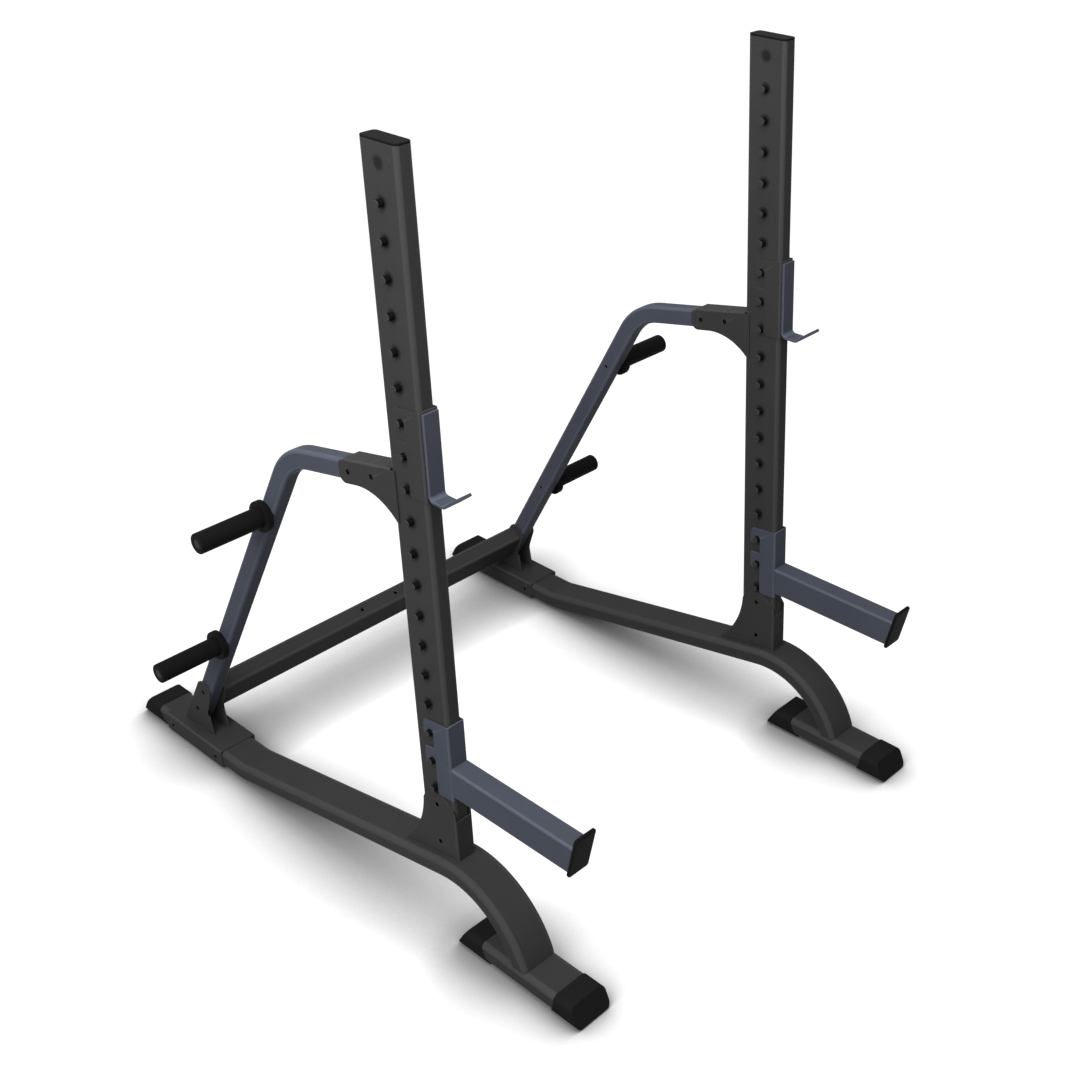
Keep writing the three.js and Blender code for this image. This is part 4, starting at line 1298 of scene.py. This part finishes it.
# Seen straight on or in gloss the floor is white, and its own light fades where the rack is close.
# It throws little light back up at the rack.
def floor():
    bm = bmesh.new()
    corners = [(-1, -1), (1, -1), (1, 1), (-1, 1)]
    bm.faces.new([bm.verts.new((x * FLOOR_HALF, y * FLOOR_HALF, 0)) for x, y in corners])
    mesh = bpy.data.meshes.new("floor")
    bm.to_mesh(mesh)
    bm.free()
    material = bpy.data.materials.new("pale_floor")
    material.use_nodes = True
    tree = material.node_tree
    tree.nodes.clear()
    shade = shader_node(tree, "AmbientOcclusion", {"Distance": SHADE_REACH, "Color": WHITE})
    faded = counted(tree, "POWER", shade.outputs["AO"], SHADE_DEPTH)
    glow = shader_node(tree, "Emission", {"Color": faded, "Strength": FLOOR_GLOW})
    seen = shader_node(tree, "AddShader", {0: matt(tree, FLOOR_WHITE), 1: glow.outputs["Emission"]})
    show(tree, "OutputMaterial", matt(tree, FLOOR_BOUNCE), seen.outputs["Shader"])
    mesh.materials.append(material)
    in_scene("floor", mesh)


def world():
    studio = bpy.data.worlds.new("studio")
    bpy.context.scene.world = studio
    studio.use_nodes = True
    studio.node_tree.nodes.clear()
    tree = studio.node_tree
    light = shader_node(tree, "Background", {"Color": WHITE, "Strength": WORLD_LEVEL})
    white = shader_node(tree, "Background", {"Color": WHITE})
    show(tree, "OutputWorld", light.outputs["Background"], white.outputs["Background"])


def lamp(name, place, size, watts):
    data = bpy.data.lights.new(name, "AREA")
    data.shape = "DISK"
    data.size = size
    data.energy = watts
    light = in_scene(name, data)
    light.location = place
    light.rotation_euler = (LAMP_TARGET - Vector(place)).to_track_quat("-Z", "Y").to_euler()


def camera():
    data = bpy.data.cameras.new("camera")
    data.sensor_fit = "HORIZONTAL"
    data.sensor_width = SENSOR
    data.lens = FOCAL_PIXELS / PHOTO_SIDE * SENSOR
    data.shift_x = 0.5 - CENTRE_PIXEL[0] / PHOTO_SIDE
    data.shift_y = CENTRE_PIXEL[1] / PHOTO_SIDE - 0.5
    data.clip_end = CAMERA_REACH
    back = Vector((
        math.sin(CAMERA_AZIMUTH) * math.cos(CAMERA_ELEVATION),
        -math.cos(CAMERA_AZIMUTH) * math.cos(CAMERA_ELEVATION), math.sin(CAMERA_ELEVATION)))
    right = Vector((math.cos(CAMERA_AZIMUTH), math.sin(CAMERA_AZIMUTH), 0))
    turn = Matrix((right, back.cross(right), back)).transposed().to_4x4()
    place = (CAMERA_PLACE + Vector((0, UPRIGHT_PLANE, 0))) * MM
    eye = in_scene("camera", data)
    eye.matrix_world = Matrix.Translation(place) @ turn
    bpy.context.scene.camera = eye


floor()
world()
for lamp_name, numbers in LAMPS.items():
    lamp(lamp_name, *numbers)
camera()
bpy.context.scene.view_settings.view_transform = "Standard"
